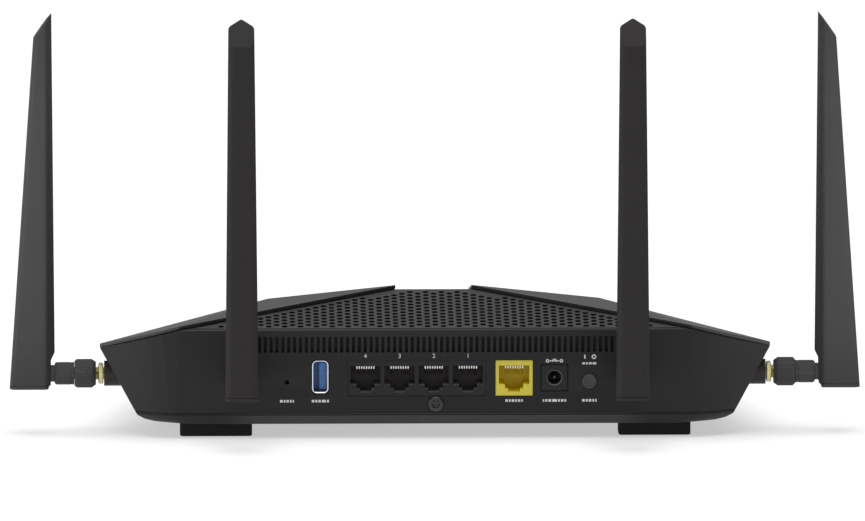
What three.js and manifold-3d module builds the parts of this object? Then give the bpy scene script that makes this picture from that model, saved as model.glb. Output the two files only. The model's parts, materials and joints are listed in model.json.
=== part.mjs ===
// A low, wide wireless router with four folding blade antennas: two on the rear face, one on
// each side. Millimetres, +Z up, the port side towards -Y and the light strip towards +Y.
// Inside this file Y = 0 is the rear face and Z = 0 is the surface under the feet; the last
// lines shift the whole assembly so that the origin is under the middle of its own box.

import * as THREE from "three";
import { ConvexGeometry } from "three/addons/geometries/ConvexGeometry.js";
import { mergeVertices } from "three/addons/utils/BufferGeometryUtils.js";
import Module from "manifold-3d";

const wasm = await Module();
wasm.setup();

// ---------------------------------------------------------------- driving dimensions

// Fits
const gap = 0.3; // between two pieces that touch
const cut = 1; // how far a cutting solid runs past what it cuts

// Body outline, seen from above
const bodyHalf = 141; // half the width over the wing tips
const bodyDepth = 187;
const tipSweep = 33; // from a wing tip in to the end of the flat rear face
const tipY = 14;
const cornerBow = 1.7; // how a rear corner curves on its way to the tip: 1 would be straight
const cornerSteps = 5;
const flank = { inFromTip: 14, y: 92 };
const shoulder = { inFromTip: 29, fromFront: 35 };
const noseHalf = 60;

// Body heights, for the deck under the wing covers
const rearTopZ = 46;
const tipZ = 36.9;
const flankZ = 28.5;
const shoulderZ = 24.5;
const noseZ = 22.5;
const crestY = 50;
const crestZ = 56.25;
const strip = { half: 16, frontFromNose: 83, frontZ: 47.5 };
const kink = { inFromTip: 71, z: 50.6 };

// Lower body
const seamZ = 10.9; // where the housing meets the bottom cover
const bottomZ = 5.9;
const wallLean = 0.714; // how far a side wall leans in, for each millimetre down
const edgeRound = 13; // how far in the rounded bottom edge of a side runs
const rearChamfer = 3; // how far in the flat chamfer under the rear face runs
const cornerRound = 6.5; // and the mix of the two, under a rear corner
const roundTurns = [0, 22.5, 45, 67.5, 90]; // degrees of the rounding at which its rings lie
const wall = 2.5;

// Plates on and in the deck
const wingThickness = 1.5;
const grilleThickness = 1.2;
const ledge = 2;
const grilleMargin = { rear: 2.4, crest: 1.2, side: 1.2 };
const bezel = { fromNose: 32, toNose: 15, margin: 2.4, thickness: 1.5 };

// Lights and the two buttons in the bezel
const light = { count: 10, pitch: 6.4, width: 2.4, depth: 1.2, barDepth: 3.4, barHeight: 3 };
const deckButton = { x: 37.6, width: 8, depth: 6, proud: 0.8, height: 7 };

// Rear face
const vent = { count: 61, pitch: 2.47, width: 1.35, lowZ: 36.6, highZ: 43.2 };
const jackZ = { low: 18.2, high: 32.8 };
const jackRecess = 0.4;
const rj45 = {
  pitch: 14.36,
  cavityWidth: 12.8,
  cavityLowZ: 22.8,
  cavityHighZ: 30.8,
  latchWidth: 7.7,
  latchZ: 20.8,
  tabWidth: 4.9,
  tabZ: 19.6,
  cavityDepth: 13,
  bodyDepth: 17,
};
const lanJack = { x: -8, ports: 4 };
const wanJack = { fromLan: 4.58, width: 15.2 };
const usb = { fromLan: 8.28, width: 7, lowZ: 19.1, highZ: 33.2, wall: 0.6, depth: 14, round: 1.2 };
const usbTongue = { width: 1.9, inset: 0.5, height: 11.2, length: 9 };
const dcJack = {
  fromWan: 3.85,
  z: 25.6,
  size: 11,
  bore: 6,
  depth: 13,
  boreDepth: 10,
  pin: 2,
  pinLength: 8.5,
};
const powerButton = {
  fromDc: 5.15,
  z: 24.2,
  diameter: 6,
  proud: 1.2,
  length: 7,
  travel: 1.5,
  collar: 8,
};
const reset = { fromUsb: 9.2, z: 24, hole: 2, diameter: 2.6, recess: 0.8, length: 2.6, travel: 0.5 };
const rearScrew = { x: 0, z: 14.6, head: 6.4, headHeight: 1.4, shank: 2.6, length: 3.2 };

// Board and what it carries
const board = {
  inFromTip: 42,
  rearY: 4.2,
  cornerFromNose: 91,
  frontNarrower: 19,
  frontFromNose: 51,
  thickness: 1.6,
};
const standOff = { inset: 9, rearY: 30, frontInset: 29, frontFromNose: 71, diameter: 6 };
const can = { height: 3, cpu: 34, radioInset: 3, radioWidth: 34, radioRearY: 60, radioFromNose: 88 };
const pad = { size: 28, thickness: 1 };
const sink = { width: 108, rearY: 39, frontFromNose: 90, base: 2.4, height: 14, fins: 12, fin: 1.6 };

// Feet and case screws
const foot = {
  inFromTip: 48.8,
  rearY: 8,
  width: 30.3,
  depth: 14,
  frontInFromTip: 67,
  frontFromNose: 48,
  recess: 1,
};
const caseScrew = { rearInFromTip: 36, rearY: 52, frontX: 62, frontFromNose: 35 };
const screwHead = { diameter: 5.6, height: 1.8, depth: 0.5 };
const screwShank = { diameter: 2.6, length: 16 };
const screwCup = { diameter: 10, roof: 1.5 };
const postDiameter = 7;
const floorVent = { count: 9, pitch: 10, width: 3, length: 64, y: 44 };

// Antenna connectors. "Out" is the distance from the end of the boss, along the connector.
const sideConnector = { y: 20, z: 25.2, inFromTip: 1.8 };
const rearConnector = { inFromCorner: 26.25, z: 27.9, boss: 3 };
const bossDiameter = 10.6;
const hex = { acrossCorners: 9.6, length: 2.1 };
const thread = { diameter: 5.6, endOut: 8.6 };
const jackTail = { diameter: 5, length: 12 };
const nut = { startOut: 3.4, endOut: 12.4, diameter: 12.2, chamfer: 1, bore: 7, throat: 5.8, roof: 1.5 };
const barrel = { diameter: 9.5, endOut: 20.8, chamfer: 0.5, collar: 6.4, collarLength: 1.6, spigot: 5.2 };
const tongue = { thickness: 6.2, height: 7.1, headroom: 0.1 };
const hinge = { out: 28.3, pin: 2, pinHalf: 5.7, cheekSkin: 0.9 };

// How much the hinge's cheeks are cut back, where they pass over the barrel's end.
const relief = { fromBarrel: 0.2, cheekIn: 1.6, lowIn: 0.4 };

// Antenna blade. Heights are from the connector's axis.
const blade = {
  lowZ: -6,
  cutZ: 142.1,
  peakZ: 152.8,
  innerOut: 20.6,
  outerOut: 39.65,
  innerTopOut: 21.75,
  outerTopOut: 29.4,
  width: 13.8,
  topWidth: 10.9,
  ridge: 3.8,
  topRidge: 2.1,
  edge: 1.7,
  backHalf: 0.4, // half the width of the ridge's narrow back
  flatOut: 22.3,
  flatTopZ: 8.6,
  stepRise: 5.2, // how far up the sloping step runs, where the ridge starts
};

// Antenna leads. Each point is [how far in from the connector, how far forwards, how far up from
// the board], the first one at the connector's tail.
const lead = { diameter: 1.8, sides: 8, steps: 14 };
const rearLeadRoute = [[0, 6, 9.1], [2, 14, 4], [4, 22, 0], [4, 32, 0]];
const sideLeadRoute = [[6, 0.5, 6.4], [16, 8, 3], [26, 14, 0], [34, 20, 0]];

// ---------------------------------------------------------------- values that follow

const rearHalf = bodyHalf - tipSweep;
const flankHalf = bodyHalf - flank.inFromTip;
const shoulderHalf = bodyHalf - shoulder.inFromTip;
const shoulderY = bodyDepth - shoulder.fromFront;
const kinkHalf = bodyHalf - kink.inFromTip;
const wingLift = gap + wingThickness;
const floorZ = bottomZ + wall;
const boardTopZ = jackZ.low - gap;
const boardLowZ = boardTopZ - board.thickness;
const stripFrontY = bodyDepth - strip.frontFromNose;
const deckSlope = (strip.frontZ - noseZ) / strip.frontFromNose;
const deckTilt = Math.atan(deckSlope);
const sideBossEnd = bodyHalf - sideConnector.inFromTip;
const rearConnectorX = rearHalf - rearConnector.inFromCorner;
const rearReach = -(rearConnector.boss + blade.outerOut);
const screwSeatZ = bottomZ + screwHead.depth + screwHead.height + gap;
const cupTopZ = screwSeatZ + screwCup.roof;
const postLowZ = cupTopZ + gap;
const sinkLowZ = boardTopZ + gap + can.height + gap + pad.thickness + gap;
const sinkDepth = bodyDepth - sink.frontFromNose - sink.rearY;
const cpuY = sink.rearY + sinkDepth / 2;
const boardHalf = bodyHalf - board.inFromTip;
const bezelFromY = bodyDepth - bezel.fromNose;
const bezelToY = bodyDepth - bezel.toNose;

// ---------------------------------------------------------------- solids

// A closed three.js geometry as a solid that can be joined and cut.
function solid(geometry) {
  const bare = geometry.clone();
  bare.deleteAttribute("normal");
  bare.deleteAttribute("uv");
  const merged = mergeVertices(bare, 1e-4);
  return new wasm.Manifold(
    new wasm.Mesh({
      numProp: 3,
      vertProperties: merged.attributes.position.array,
      triVerts: new Uint32Array(merged.index.array),
    }),
  );
}

function box(x0, x1, y0, y1, z0, z1) {
  const geometry = new THREE.BoxGeometry(x1 - x0, y1 - y0, z1 - z0);
  geometry.translate((x0 + x1) / 2, (y0 + y1) / 2, (z0 + z1) / 2);
  return solid(geometry);
}

// An outline of [x, y] points, raised from z0 to z1.
function prism(outline, z0, z1) {
  const shape = new THREE.Shape(outline.map(([x, y]) => new THREE.Vector2(x, y)));
  const geometry = new THREE.ExtrudeGeometry(shape, { depth: z1 - z0, bevelEnabled: false });
  geometry.translate(0, 0, z0);
  return solid(geometry);
}

// An outline of [x, z] points, carried along Y from y0 to y1.
function slab(outline, y0, y1) {
  const shape = new THREE.Shape(outline.map(([x, z]) => new THREE.Vector2(x, z)));
  const geometry = new THREE.ExtrudeGeometry(shape, { depth: y1 - y0, bevelEnabled: false });
  geometry.rotateX(Math.PI / 2);
  geometry.translate(0, y1, 0);
  return solid(geometry);
}

// A round bar on the axis "x", "y" or "z", from a to b along it, through (p, q) across it.
function bar(axis, diameter, a, b, p, q, sides = 20) {
  const geometry = new THREE.CylinderGeometry(diameter / 2, diameter / 2, b - a, sides);
  geometry.rotateY(Math.PI / sides);
  geometry.translate(0, (a + b) / 2, 0);
  if (axis === "x") {
    geometry.rotateZ(-Math.PI / 2);
    geometry.translate(0, p, q);
  } else if (axis === "y") {
    geometry.translate(p, 0, q);
  } else {
    geometry.rotateX(Math.PI / 2);
    geometry.translate(p, q, 0);
  }
  return solid(geometry);
}

// A profile of [out, radius] points, turned about the X axis.
function turned(profile, sides = 20) {
  const points = profile.map(([out, radius]) => new THREE.Vector2(radius, out));
  const geometry = new THREE.LatheGeometry(points, sides);
  geometry.rotateY(Math.PI / sides);
  geometry.rotateZ(-Math.PI / 2);
  return solid(geometry);
}

function convex(points) {
  return solid(new ConvexGeometry(points.map(([x, y, z]) => new THREE.Vector3(x, y, z))));
}

const mirrored = (points) => points.flatMap(([x, ...rest]) => [[x, ...rest], [-x, ...rest]]);
const joined = (solids) => solids.reduce((all, one) => all.add(one));
const without = (body, cuts) => cuts.reduce((left, one) => left.subtract(one), body);

// ---------------------------------------------------------------- materials and meshes

const finishes = {
  housing: { color: 0x2e2b2d, roughness: 0.55, metalness: 0 },
  wing: { color: 0x444846, roughness: 0.42, metalness: 0 },
  grille: { color: 0x3c393a, roughness: 0.5, metalness: 0 },
  gloss: { color: 0x111113, roughness: 0.12, metalness: 0 },
  antenna: { color: 0x3a3838, roughness: 0.5, metalness: 0 },
  rubber: { color: 0x1d1c1d, roughness: 0.85, metalness: 0 },
  brass: { color: 0xaaa578, roughness: 0.3, metalness: 1 },
  steel: { color: 0xc6cad2, roughness: 0.25, metalness: 1 },
  darkSteel: { color: 0x2a2a2c, roughness: 0.4, metalness: 0.8 },
  tin: { color: 0xb9bcc0, roughness: 0.35, metalness: 1 },
  jackBlack: { color: 0x1a191a, roughness: 0.5, metalness: 0 },
  jackYellow: { color: 0xd7cd46, roughness: 0.45, metalness: 0 },
  usbBlue: { color: 0x3c6eaf, roughness: 0.4, metalness: 0 },
  board: { color: 0x1f5a35, roughness: 0.45, metalness: 0 },
  aluminium: { color: 0xb4b7ba, roughness: 0.4, metalness: 1 },
  pad: { color: 0x8f9aa6, roughness: 0.9, metalness: 0 },
  clear: { color: 0xdfe4e6, roughness: 0.15, metalness: 0 },
  lead: { color: 0x6a6c70, roughness: 0.6, metalness: 0 },
};

function piece(name, body, finish) {
  const mesh = body.getMesh();
  const geometry = new THREE.BufferGeometry();
  geometry.setAttribute("position", new THREE.BufferAttribute(mesh.vertProperties, 3));
  geometry.setIndex(new THREE.BufferAttribute(mesh.triVerts, 1));
  geometry.computeVertexNormals();
  const made = new THREE.Mesh(geometry, new THREE.MeshStandardMaterial(finishes[finish]));
  made.name = name;
  return made;
}

// ---------------------------------------------------------------- body shape

// The rim of the body, right half, as [x, y, z]: rear corner, tip, flank, shoulder and nose.
const rimHalf = [
  [rearHalf, 0, rearTopZ],
  [bodyHalf, tipY, tipZ],
  [flankHalf, flank.y, flankZ],
  [shoulderHalf, shoulderY, shoulderZ],
  [noseHalf, bodyDepth, noseZ],
];
const rim = [...rimHalf, ...rimHalf.map(([x, y, z]) => [-x, y, z]).reverse()];
const ridge = mirrored([
  [strip.half, crestY, crestZ],
  [kinkHalf, crestY, kink.z],
  [strip.half, stripFrontY, strip.frontZ],
]);

// The points of a rear corner's curve from the rear face to the wing tip, without its ends.
function cornerCurve(corner, tip) {
  return Array.from({ length: cornerSteps - 1 }, (_, i) => {
    const share = (i + 1) / cornerSteps;
    const point = corner.map((value, axis) => value + (tip[axis] - value) * share);
    point[1] = corner[1] + (tip[1] - corner[1]) * share ** cornerBow;
    return point;
  });
}

// A rim, or an outline inside it, with its two rear corners curved.
function bowed(outline) {
  const [corner, tip] = outline;
  const [leftTip, leftCorner] = outline.slice(-2);
  const leftCurve = cornerCurve(leftCorner, leftTip).reverse();
  return [corner, ...cornerCurve(corner, tip), ...outline.slice(1, -1), ...leftCurve, leftCorner];
}

// Each edge of an outline that runs anticlockwise, moved in by its own distance.
function insetOutline(outline, distances) {
  const lines = outline.map(([x, y], i) => {
    const [nextX, nextY] = outline[(i + 1) % outline.length];
    const length = Math.hypot(nextX - x, nextY - y);
    const dx = (nextX - x) / length;
    const dy = (nextY - y) / length;
    return { x: x - dy * distances[i], y: y + dx * distances[i], dx, dy };
  });
  return lines.map((line, i) => {
    const before = lines[(i + lines.length - 1) % lines.length];
    const cross = before.dx * line.dy - before.dy * line.dx;
    const along = ((line.x - before.x) * line.dy - (line.y - before.y) * line.dx) / cross;
    return [before.x + before.dx * along, before.y + before.dy * along];
  });
}

// How far each edge of the rim leans in by the time its wall reaches the seam.
const leanAtSeam = rim.map(([, y, z], i) => {
  const [, nextY, nextZ] = rim[(i + 1) % rim.length];
  const onRear = y === 0 || nextY === 0;
  return onRear ? 0 : ((z + nextZ) / 2 - seamZ) * wallLean;
});
// How far each edge has moved in by a turn of the rounding: a side follows a quarter ellipse,
// the rear face a flat chamfer.
function roundedIn(turn) {
  const ellipse = 1 - Math.cos(turn);
  const chamfer = Math.sin(turn);
  return rim.map(([, y], i) => {
    const [, nextY] = rim[(i + 1) % rim.length];
    if (y === 0 && nextY === 0) return rearChamfer * chamfer;
    return y === 0 || nextY === 0 ? (cornerRound * (ellipse + chamfer)) / 2 : edgeRound * ellipse;
  });
}

// The body as one convex solid, every face moved in by "inset".
function bodySolid(inset) {
  const upper = insetOutline(rim, rim.map(() => inset));
  const points = bowed(upper.map(([x, y], i) => [x, y, rim[i][2] - inset]));
  ridge.forEach(([x, y, z]) => points.push([x, y, z - inset]));
  const lowZ = bottomZ + inset;
  for (const degrees of roundTurns) {
    const turn = THREE.MathUtils.degToRad(degrees);
    const z = seamZ - (seamZ - lowZ) * Math.sin(turn);
    const inwards = roundedIn(turn);
    const distances = leanAtSeam.map((lean, i) => lean + inset + inwards[i]);
    bowed(insetOutline(rim, distances)).forEach(([x, y]) => points.push([x, y, z]));
  }
  return convex(points);
}

// Everything under the deck's surface, when that is raised by "lift".
function underDeck(lift) {
  const tops = [...bowed(rim), ...ridge];
  return convex(tops.flatMap(([x, y, z]) => [[x, y, z + lift], [x, y, 0]]));
}

// A plate over an outline, between two heights above the deck's surface.
function deckPlate(outline, lowLift, highLift) {
  const column = prism(outline, cut, crestZ + highLift + cut);
  return column.intersect(underDeck(highLift)).subtract(underDeck(lowLift));
}

// A four-sided outline across the middle, whose half widths are a at ya and b at yb.
const across = (a, ya, b, yb) => [[-a, ya], [a, ya], [b, yb], [-b, yb]];
const halfAt = (y, [x0, y0], [x1, y1]) => x0 + ((x1 - x0) * (y - y0)) / (y1 - y0);
const rearEdge = [[rearHalf, 0], [strip.half, crestY]];
const frontEdge = [[strip.half, stripFrontY], [noseHalf, bodyDepth]];

// An opening between two heights of Y, as far as "margin" from the wing covers' edges.
function between(edge, y0, y1, margin) {
  const a = halfAt(y0, ...edge) - margin;
  const b = halfAt(y1, ...edge) - margin;
  return across(a, y0, b, y1);
}

// ---------------------------------------------------------------- grilles, wings and bezel

function grilleOutline(part, grow) {
  if (part === "rear") {
    const fromY = grilleMargin.rear - grow;
    const toY = crestY - grilleMargin.crest + grow;
    return between(rearEdge, fromY, toY, grilleMargin.side * 2 - grow);
  }
  const fromY = stripFrontY + grilleMargin.rear - grow;
  const toY = bezelFromY - ledge - gap + grow;
  return between(frontEdge, fromY, toY, grilleMargin.side - grow);
}

const grille = (part) => deckPlate(grilleOutline(part, 0), -grilleThickness, 0);

// The pocket that a grille lies in, with a ledge round it and the vent below.
function grilleCuts(part) {
  const pocket = deckPlate(grilleOutline(part, gap), -grilleThickness - gap, cut);
  const through = prism(grilleOutline(part, -ledge), seamZ, crestZ + cut);
  return [pocket, through];
}

function wingCover(side) {
  const [corner, tip, ...rest] = rimHalf;
  const outer = [corner, ...cornerCurve(corner, tip), tip, ...rest];
  const outline = [[strip.half, crestY], ...outer, [strip.half, stripFrontY]];
  const placed = outline.map(([x, y]) => [side * x, y]);
  return deckPlate(side > 0 ? placed : placed.reverse(), gap, wingLift);
}

// A box that stands square to the sloping front of the deck, at (x, y), between two heights
// measured along its slope's normal.
function deckBox(x, y, width, depth, low, high) {
  const geometry = new THREE.BoxGeometry(width, depth, high - low);
  geometry.translate(0, 0, (low + high) / 2);
  geometry.rotateX(-deckTilt);
  geometry.translate(x, y, deckZ(y));
  return solid(geometry);
}

const deckZ = (y) => strip.frontZ - (y - stripFrontY) * deckSlope;
const bezelMidY = (bezelFromY + bezelToY) / 2;
const lightX = (i) => (i - (light.count - 1) / 2) * light.pitch;
const lights = Array.from({ length: light.count }, (_, i) => lightX(i));
const bezelTop = (gap + bezel.thickness) * Math.cos(deckTilt);
const lightLow = -wall - gap - light.barHeight;

function ledBezel() {
  const plate = deckPlate(between(frontEdge, bezelFromY, bezelToY, bezel.margin), gap, wingLift);
  const windows = lights.map((x) =>
    deckBox(x, bezelMidY, light.width + 2 * gap, light.depth + 2 * gap, -cut, bezelTop + cut),
  );
  const holes = [-1, 1].map((side) => buttonHole(side, -cut));
  return without(plate, [...windows, ...holes]);
}

function buttonHole(side, low) {
  const { x, width, depth } = deckButton;
  return deckBox(side * x, bezelMidY, width + 2 * gap, depth + 2 * gap, low, bezelTop + cut);
}

// One clear bar behind the bezel, with a window for each light.
function lightPipe() {
  const length = light.count * light.pitch;
  const base = deckBox(0, bezelMidY, length, light.barDepth, lightLow, lightLow + light.barHeight);
  const windows = lights.map((x) =>
    deckBox(x, bezelMidY, light.width, light.depth, lightLow + light.barHeight - cut, bezelTop),
  );
  return joined([base, ...windows]);
}

function bezelCuts() {
  const slotLength = light.count * light.pitch + 2 * gap;
  const slotDepth = light.depth + 2 * gap;
  const slot = deckBox(0, bezelMidY, slotLength, slotDepth, lightLow, cut);
  const pocketDepth = light.barDepth + 2 * gap;
  const barSpace = deckBox(0, bezelMidY, slotLength, pocketDepth, -4 * wall, -wall);
  return [slot, barSpace, ...[-1, 1].map((side) => buttonHole(side, -2 * wall))];
}

function deckKey(side) {
  const { x, width, depth, proud, height } = deckButton;
  return deckBox(side * x, bezelMidY, width, depth, bezelTop + proud - height, bezelTop + proud);
}

// ---------------------------------------------------------------- rear face

function ventCuts() {
  const { count, pitch, width, lowZ, highZ } = vent;
  return Array.from({ length: count }, (_, i) => {
    const x = (i - (count - 1) / 2) * pitch;
    return box(x - width / 2, x + width / 2, -cut, wall + cut, lowZ, highZ);
  });
}

// The space that a plug goes into, with the steps for its latch below.
function plugCavity(x) {
  const end = jackRecess + rj45.cavityDepth;
  const half = rj45.cavityWidth / 2;
  const latch = rj45.latchWidth / 2;
  const tab = rj45.tabWidth / 2;
  const outline = [
    [x - half, rj45.cavityHighZ],
    [x - half, rj45.cavityLowZ],
    [x - latch, rj45.cavityLowZ],
    [x - latch, rj45.latchZ],
    [x - tab, rj45.latchZ],
    [x - tab, rj45.tabZ],
    [x + tab, rj45.tabZ],
    [x + tab, rj45.latchZ],
    [x + latch, rj45.latchZ],
    [x + latch, rj45.cavityLowZ],
    [x + half, rj45.cavityLowZ],
    [x + half, rj45.cavityHighZ],
  ];
  return slab(outline, -cut, end);
}

const lanHalf = ((lanJack.ports - 1) * rj45.pitch) / 2 + rj45.pitch / 2;
const lanX = (i) => lanJack.x + (i - (lanJack.ports - 1) / 2) * rj45.pitch;
const wanX = lanJack.x + lanHalf + wanJack.fromLan + wanJack.width / 2;
const usbX = lanJack.x - lanHalf - usb.fromLan - usb.width / 2;
const dcX = wanX + wanJack.width / 2 + dcJack.fromWan + dcJack.size / 2;
const powerX = dcX + dcJack.size / 2 + powerButton.fromDc + powerButton.collar / 2;
const resetX = usbX - usb.width / 2 - reset.fromUsb - reset.diameter / 2;

function jackBody(x, half, grow, fromY, toY) {
  return box(x - half - grow, x + half + grow, fromY, toY, jackZ.low - grow, jackZ.high + grow);
}

function lanJackBlock() {
  const body = jackBody(lanJack.x, lanHalf, 0, jackRecess, jackRecess + rj45.bodyDepth);
  return without(body, Array.from({ length: lanJack.ports }, (_, i) => plugCavity(lanX(i))));
}

function wanJackBody() {
  const body = jackBody(wanX, wanJack.width / 2, 0, jackRecess, jackRecess + rj45.bodyDepth);
  return body.subtract(plugCavity(wanX));
}

// A USB socket on its edge: the shell's outline with its corners cut.
function usbOutline(grow) {
  const half = usb.width / 2 + grow;
  const low = usb.lowZ - grow;
  const high = usb.highZ + grow;
  const round = usb.round + grow / 2;
  return [
    [usbX - half + round, low],
    [usbX + half - round, low],
    [usbX + half, low + round],
    [usbX + half, high - round],
    [usbX + half - round, high],
    [usbX - half + round, high],
    [usbX - half, high - round],
    [usbX - half, low + round],
  ];
}

function usbShell() {
  const body = slab(usbOutline(0), jackRecess, jackRecess + usb.depth);
  return body.subtract(slab(usbOutline(-usb.wall), -cut, jackRecess + usb.depth - usb.wall));
}

function usbTonguePiece() {
  const { width, inset, height, length } = usbTongue;
  const right = usbX + usb.width / 2 - usb.wall - inset;
  const backY = jackRecess + usb.depth - usb.wall - gap;
  const lowZ = (usb.lowZ + usb.highZ - height) / 2;
  return box(right - width, right, backY - length, backY, lowZ, lowZ + height);
}

function dcJackBody() {
  const { z, size, bore, depth, boreDepth } = dcJack;
  const half = size / 2;
  const body = box(dcX - half, dcX + half, jackRecess, jackRecess + depth, z - half, z + half);
  return body.subtract(bar("y", bore, -cut, jackRecess + boreDepth, dcX, z));
}

function dcPin() {
  const { z, boreDepth, pin, pinLength } = dcJack;
  const backY = jackRecess + boreDepth - gap;
  return bar("y", pin, backY - pinLength, backY, dcX, z, 12);
}

const buttonBackY = powerButton.length - powerButton.proud;
const collarFrontY = wall + gap + powerButton.travel;

// The button's stem has a collar behind the wall that keeps it from falling out.
function powerButtonPiece() {
  const { z, diameter, proud, collar } = powerButton;
  const stem = bar("y", diameter, -proud, buttonBackY, powerX, z);
  const ring = bar("y", collar, wall + gap, collarFrontY, powerX, z);
  return stem.add(ring);
}

function powerSwitchBody() {
  const { z, travel, collar } = powerButton;
  const half = collar / 2;
  const frontY = Math.max(buttonBackY, collarFrontY) + travel + gap;
  const lowZ = boardTopZ + gap;
  return box(powerX - half, powerX + half, frontY, frontY + collar, lowZ, z + half);
}

const resetFrontY = wall + reset.recess;

function resetPlunger() {
  return bar("y", reset.diameter, resetFrontY, resetFrontY + reset.length, resetX, reset.z, 16);
}

function resetSwitchBody() {
  const half = reset.diameter;
  const frontY = resetFrontY + reset.length + reset.travel + gap;
  const lowZ = boardTopZ + gap;
  return box(resetX - half, resetX + half, frontY, frontY + 2 * half, lowZ, reset.z + half);
}

// A screw along an axis: a head at the start and a thinner shank behind it.
function rearScrewPiece() {
  const { x, z, head, headHeight, shank, length } = rearScrew;
  const dome = bar("y", head, -headHeight + gap, gap * 2, x, z);
  return dome.add(bar("y", shank, 0, length, x, z, 12));
}

function rearFaceCuts() {
  const through = wall + cut;
  const dcHalf = dcJack.size / 2 + gap;
  const dcLowZ = dcJack.z - dcHalf;
  const screwBore = rearScrew.shank + 2 * gap;
  return [
    ...ventCuts(),
    jackBody(lanJack.x, lanHalf, gap, -cut, through),
    jackBody(wanX, wanJack.width / 2, gap, -cut, through),
    slab(usbOutline(gap), -cut, through),
    box(dcX - dcHalf, dcX + dcHalf, -cut, through, dcLowZ, dcLowZ + 2 * dcHalf),
    bar("y", powerButton.diameter + 2 * gap, -cut, through, powerX, powerButton.z),
    bar("y", reset.hole, -cut, through, resetX, reset.z, 16),
    bar("y", screwBore, -cut, rearScrew.length + cut, rearScrew.x, rearScrew.z, 12),
    bar("y", rearScrew.head + 2 * gap, -cut, gap * 3, rearScrew.x, rearScrew.z),
  ];
}

// ---------------------------------------------------------------- housing and bottom cover

const screwPlaces = mirrored([
  [bodyHalf - caseScrew.rearInFromTip, caseScrew.rearY],
  [caseScrew.frontX, bodyDepth - caseScrew.frontFromNose],
]);
const footPlaces = mirrored([
  [bodyHalf - foot.inFromTip, foot.rearY + foot.depth / 2],
  [bodyHalf - foot.frontInFromTip, bodyDepth - foot.frontFromNose],
]);
const standOffPlaces = mirrored([
  [boardHalf - standOff.inset, standOff.rearY],
  [boardHalf - standOff.frontInset, bodyDepth - standOff.frontFromNose],
]);

// The raised rings round the connectors, cut off at the inside of the wall.
function connectorBosses() {
  const rearBosses = [-1, 1].map((side) =>
    bar("y", bossDiameter, -rearConnector.boss, wall, side * rearConnectorX, rearConnector.z),
  );
  const inner = sideBossEnd - jackTail.length;
  const sideBosses = [-1, 1].map((side) => {
    const ends = [side * inner, side * sideBossEnd].sort((a, b) => a - b);
    return bar("x", bossDiameter, ...ends, sideConnector.y, sideConnector.z);
  });
  return [...rearBosses, ...sideBosses];
}

function connectorBores() {
  const bore = jackTail.diameter + 2 * gap;
  const rearBores = [-1, 1].map((side) =>
    bar("y", bore, -rearConnector.boss - cut, wall + cut, side * rearConnectorX, rearConnector.z),
  );
  const inner = sideBossEnd - jackTail.length - cut;
  const sideBores = [-1, 1].map((side) => {
    const ends = [side * inner, side * (sideBossEnd + cut)].sort((a, b) => a - b);
    return bar("x", bore, ...ends, sideConnector.y, sideConnector.z);
  });
  return [...rearBores, ...sideBores];
}

function mainHousing() {
  const outer = bodySolid(0);
  const aboveSeam = box(-2 * bodyHalf, 2 * bodyHalf, -cut, 2 * bodyDepth, seamZ + gap / 2, 2 * crestZ);
  const posts = screwPlaces.map(([x, y]) => bar("z", postDiameter, postLowZ, crestZ, x, y, 16));
  const inside = outer.subtract(bodySolid(wall)).intersect(aboveSeam);
  const heldPosts = joined(posts).intersect(bodySolid(gap));
  const bossEnd = rearScrew.length + gap;
  const screwBoss = bar("y", rearScrew.head, wall / 2, bossEnd, rearScrew.x, rearScrew.z);
  const bores = screwPlaces.map(([x, y]) =>
    bar("z", screwShank.diameter + 2 * gap, postLowZ - cut, screwSeatZ + screwShank.length + gap, x, y, 12),
  );
  const body = joined([inside, heldPosts, screwBoss.intersect(aboveSeam), ...connectorBosses()]);
  return without(body, [
    ...bores,
    ...connectorBores(),
    ...rearFaceCuts(),
    ...grilleCuts("rear"),
    ...grilleCuts("front"),
    ...bezelCuts(),
  ]);
}

function bottomCover() {
  const belowSeam = box(-2 * bodyHalf, 2 * bodyHalf, -cut, 2 * bodyDepth, 0, seamZ - gap / 2);
  const tray = bodySolid(0).subtract(bodySolid(wall)).intersect(belowSeam);
  const cups = screwPlaces.map(([x, y]) => bar("z", screwCup.diameter, bottomZ + gap, cupTopZ, x, y));
  const stands = standOffPlaces.map(([x, y]) =>
    bar("z", standOff.diameter, floorZ - gap, boardLowZ - gap, x, y, 16),
  );
  const heads = screwPlaces.map(([x, y]) =>
    bar("z", screwHead.diameter + 2 * gap, bottomZ - cut, screwSeatZ, x, y),
  );
  const holes = screwPlaces.map(([x, y]) =>
    bar("z", screwShank.diameter + 2 * gap, bottomZ, cupTopZ + cut, x, y, 12),
  );
  const footPockets = footPlaces.map(([x, y]) => footSolid(x, y, gap, bottomZ + foot.recess));
  return without(joined([tray, ...cups, ...stands]), [...heads, ...holes, ...footPockets, ...floorVents()]);
}

// A row of long slots in the underside, below the board.
function floorVents() {
  const { count, pitch, width, length, y } = floorVent;
  return Array.from({ length: count }, (_, i) => {
    const x = (i - (count - 1) / 2) * pitch;
    return box(x - width / 2, x + width / 2, y, y + length, bottomZ - cut, floorZ + cut);
  });
}

function footSolid(x, y, grow, topZ) {
  const halfX = foot.width / 2 + grow;
  const halfY = foot.depth / 2 + grow;
  return box(x - halfX, x + halfX, y - halfY, y + halfY, 0, topZ);
}

function caseScrewPiece(x, y) {
  const headLowZ = bottomZ + screwHead.depth;
  const head = bar("z", screwHead.diameter, headLowZ, headLowZ + screwHead.height, x, y, 16);
  return head.add(bar("z", screwShank.diameter, headLowZ + cut, screwSeatZ + screwShank.length, x, y, 12));
}

// ---------------------------------------------------------------- board

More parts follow.
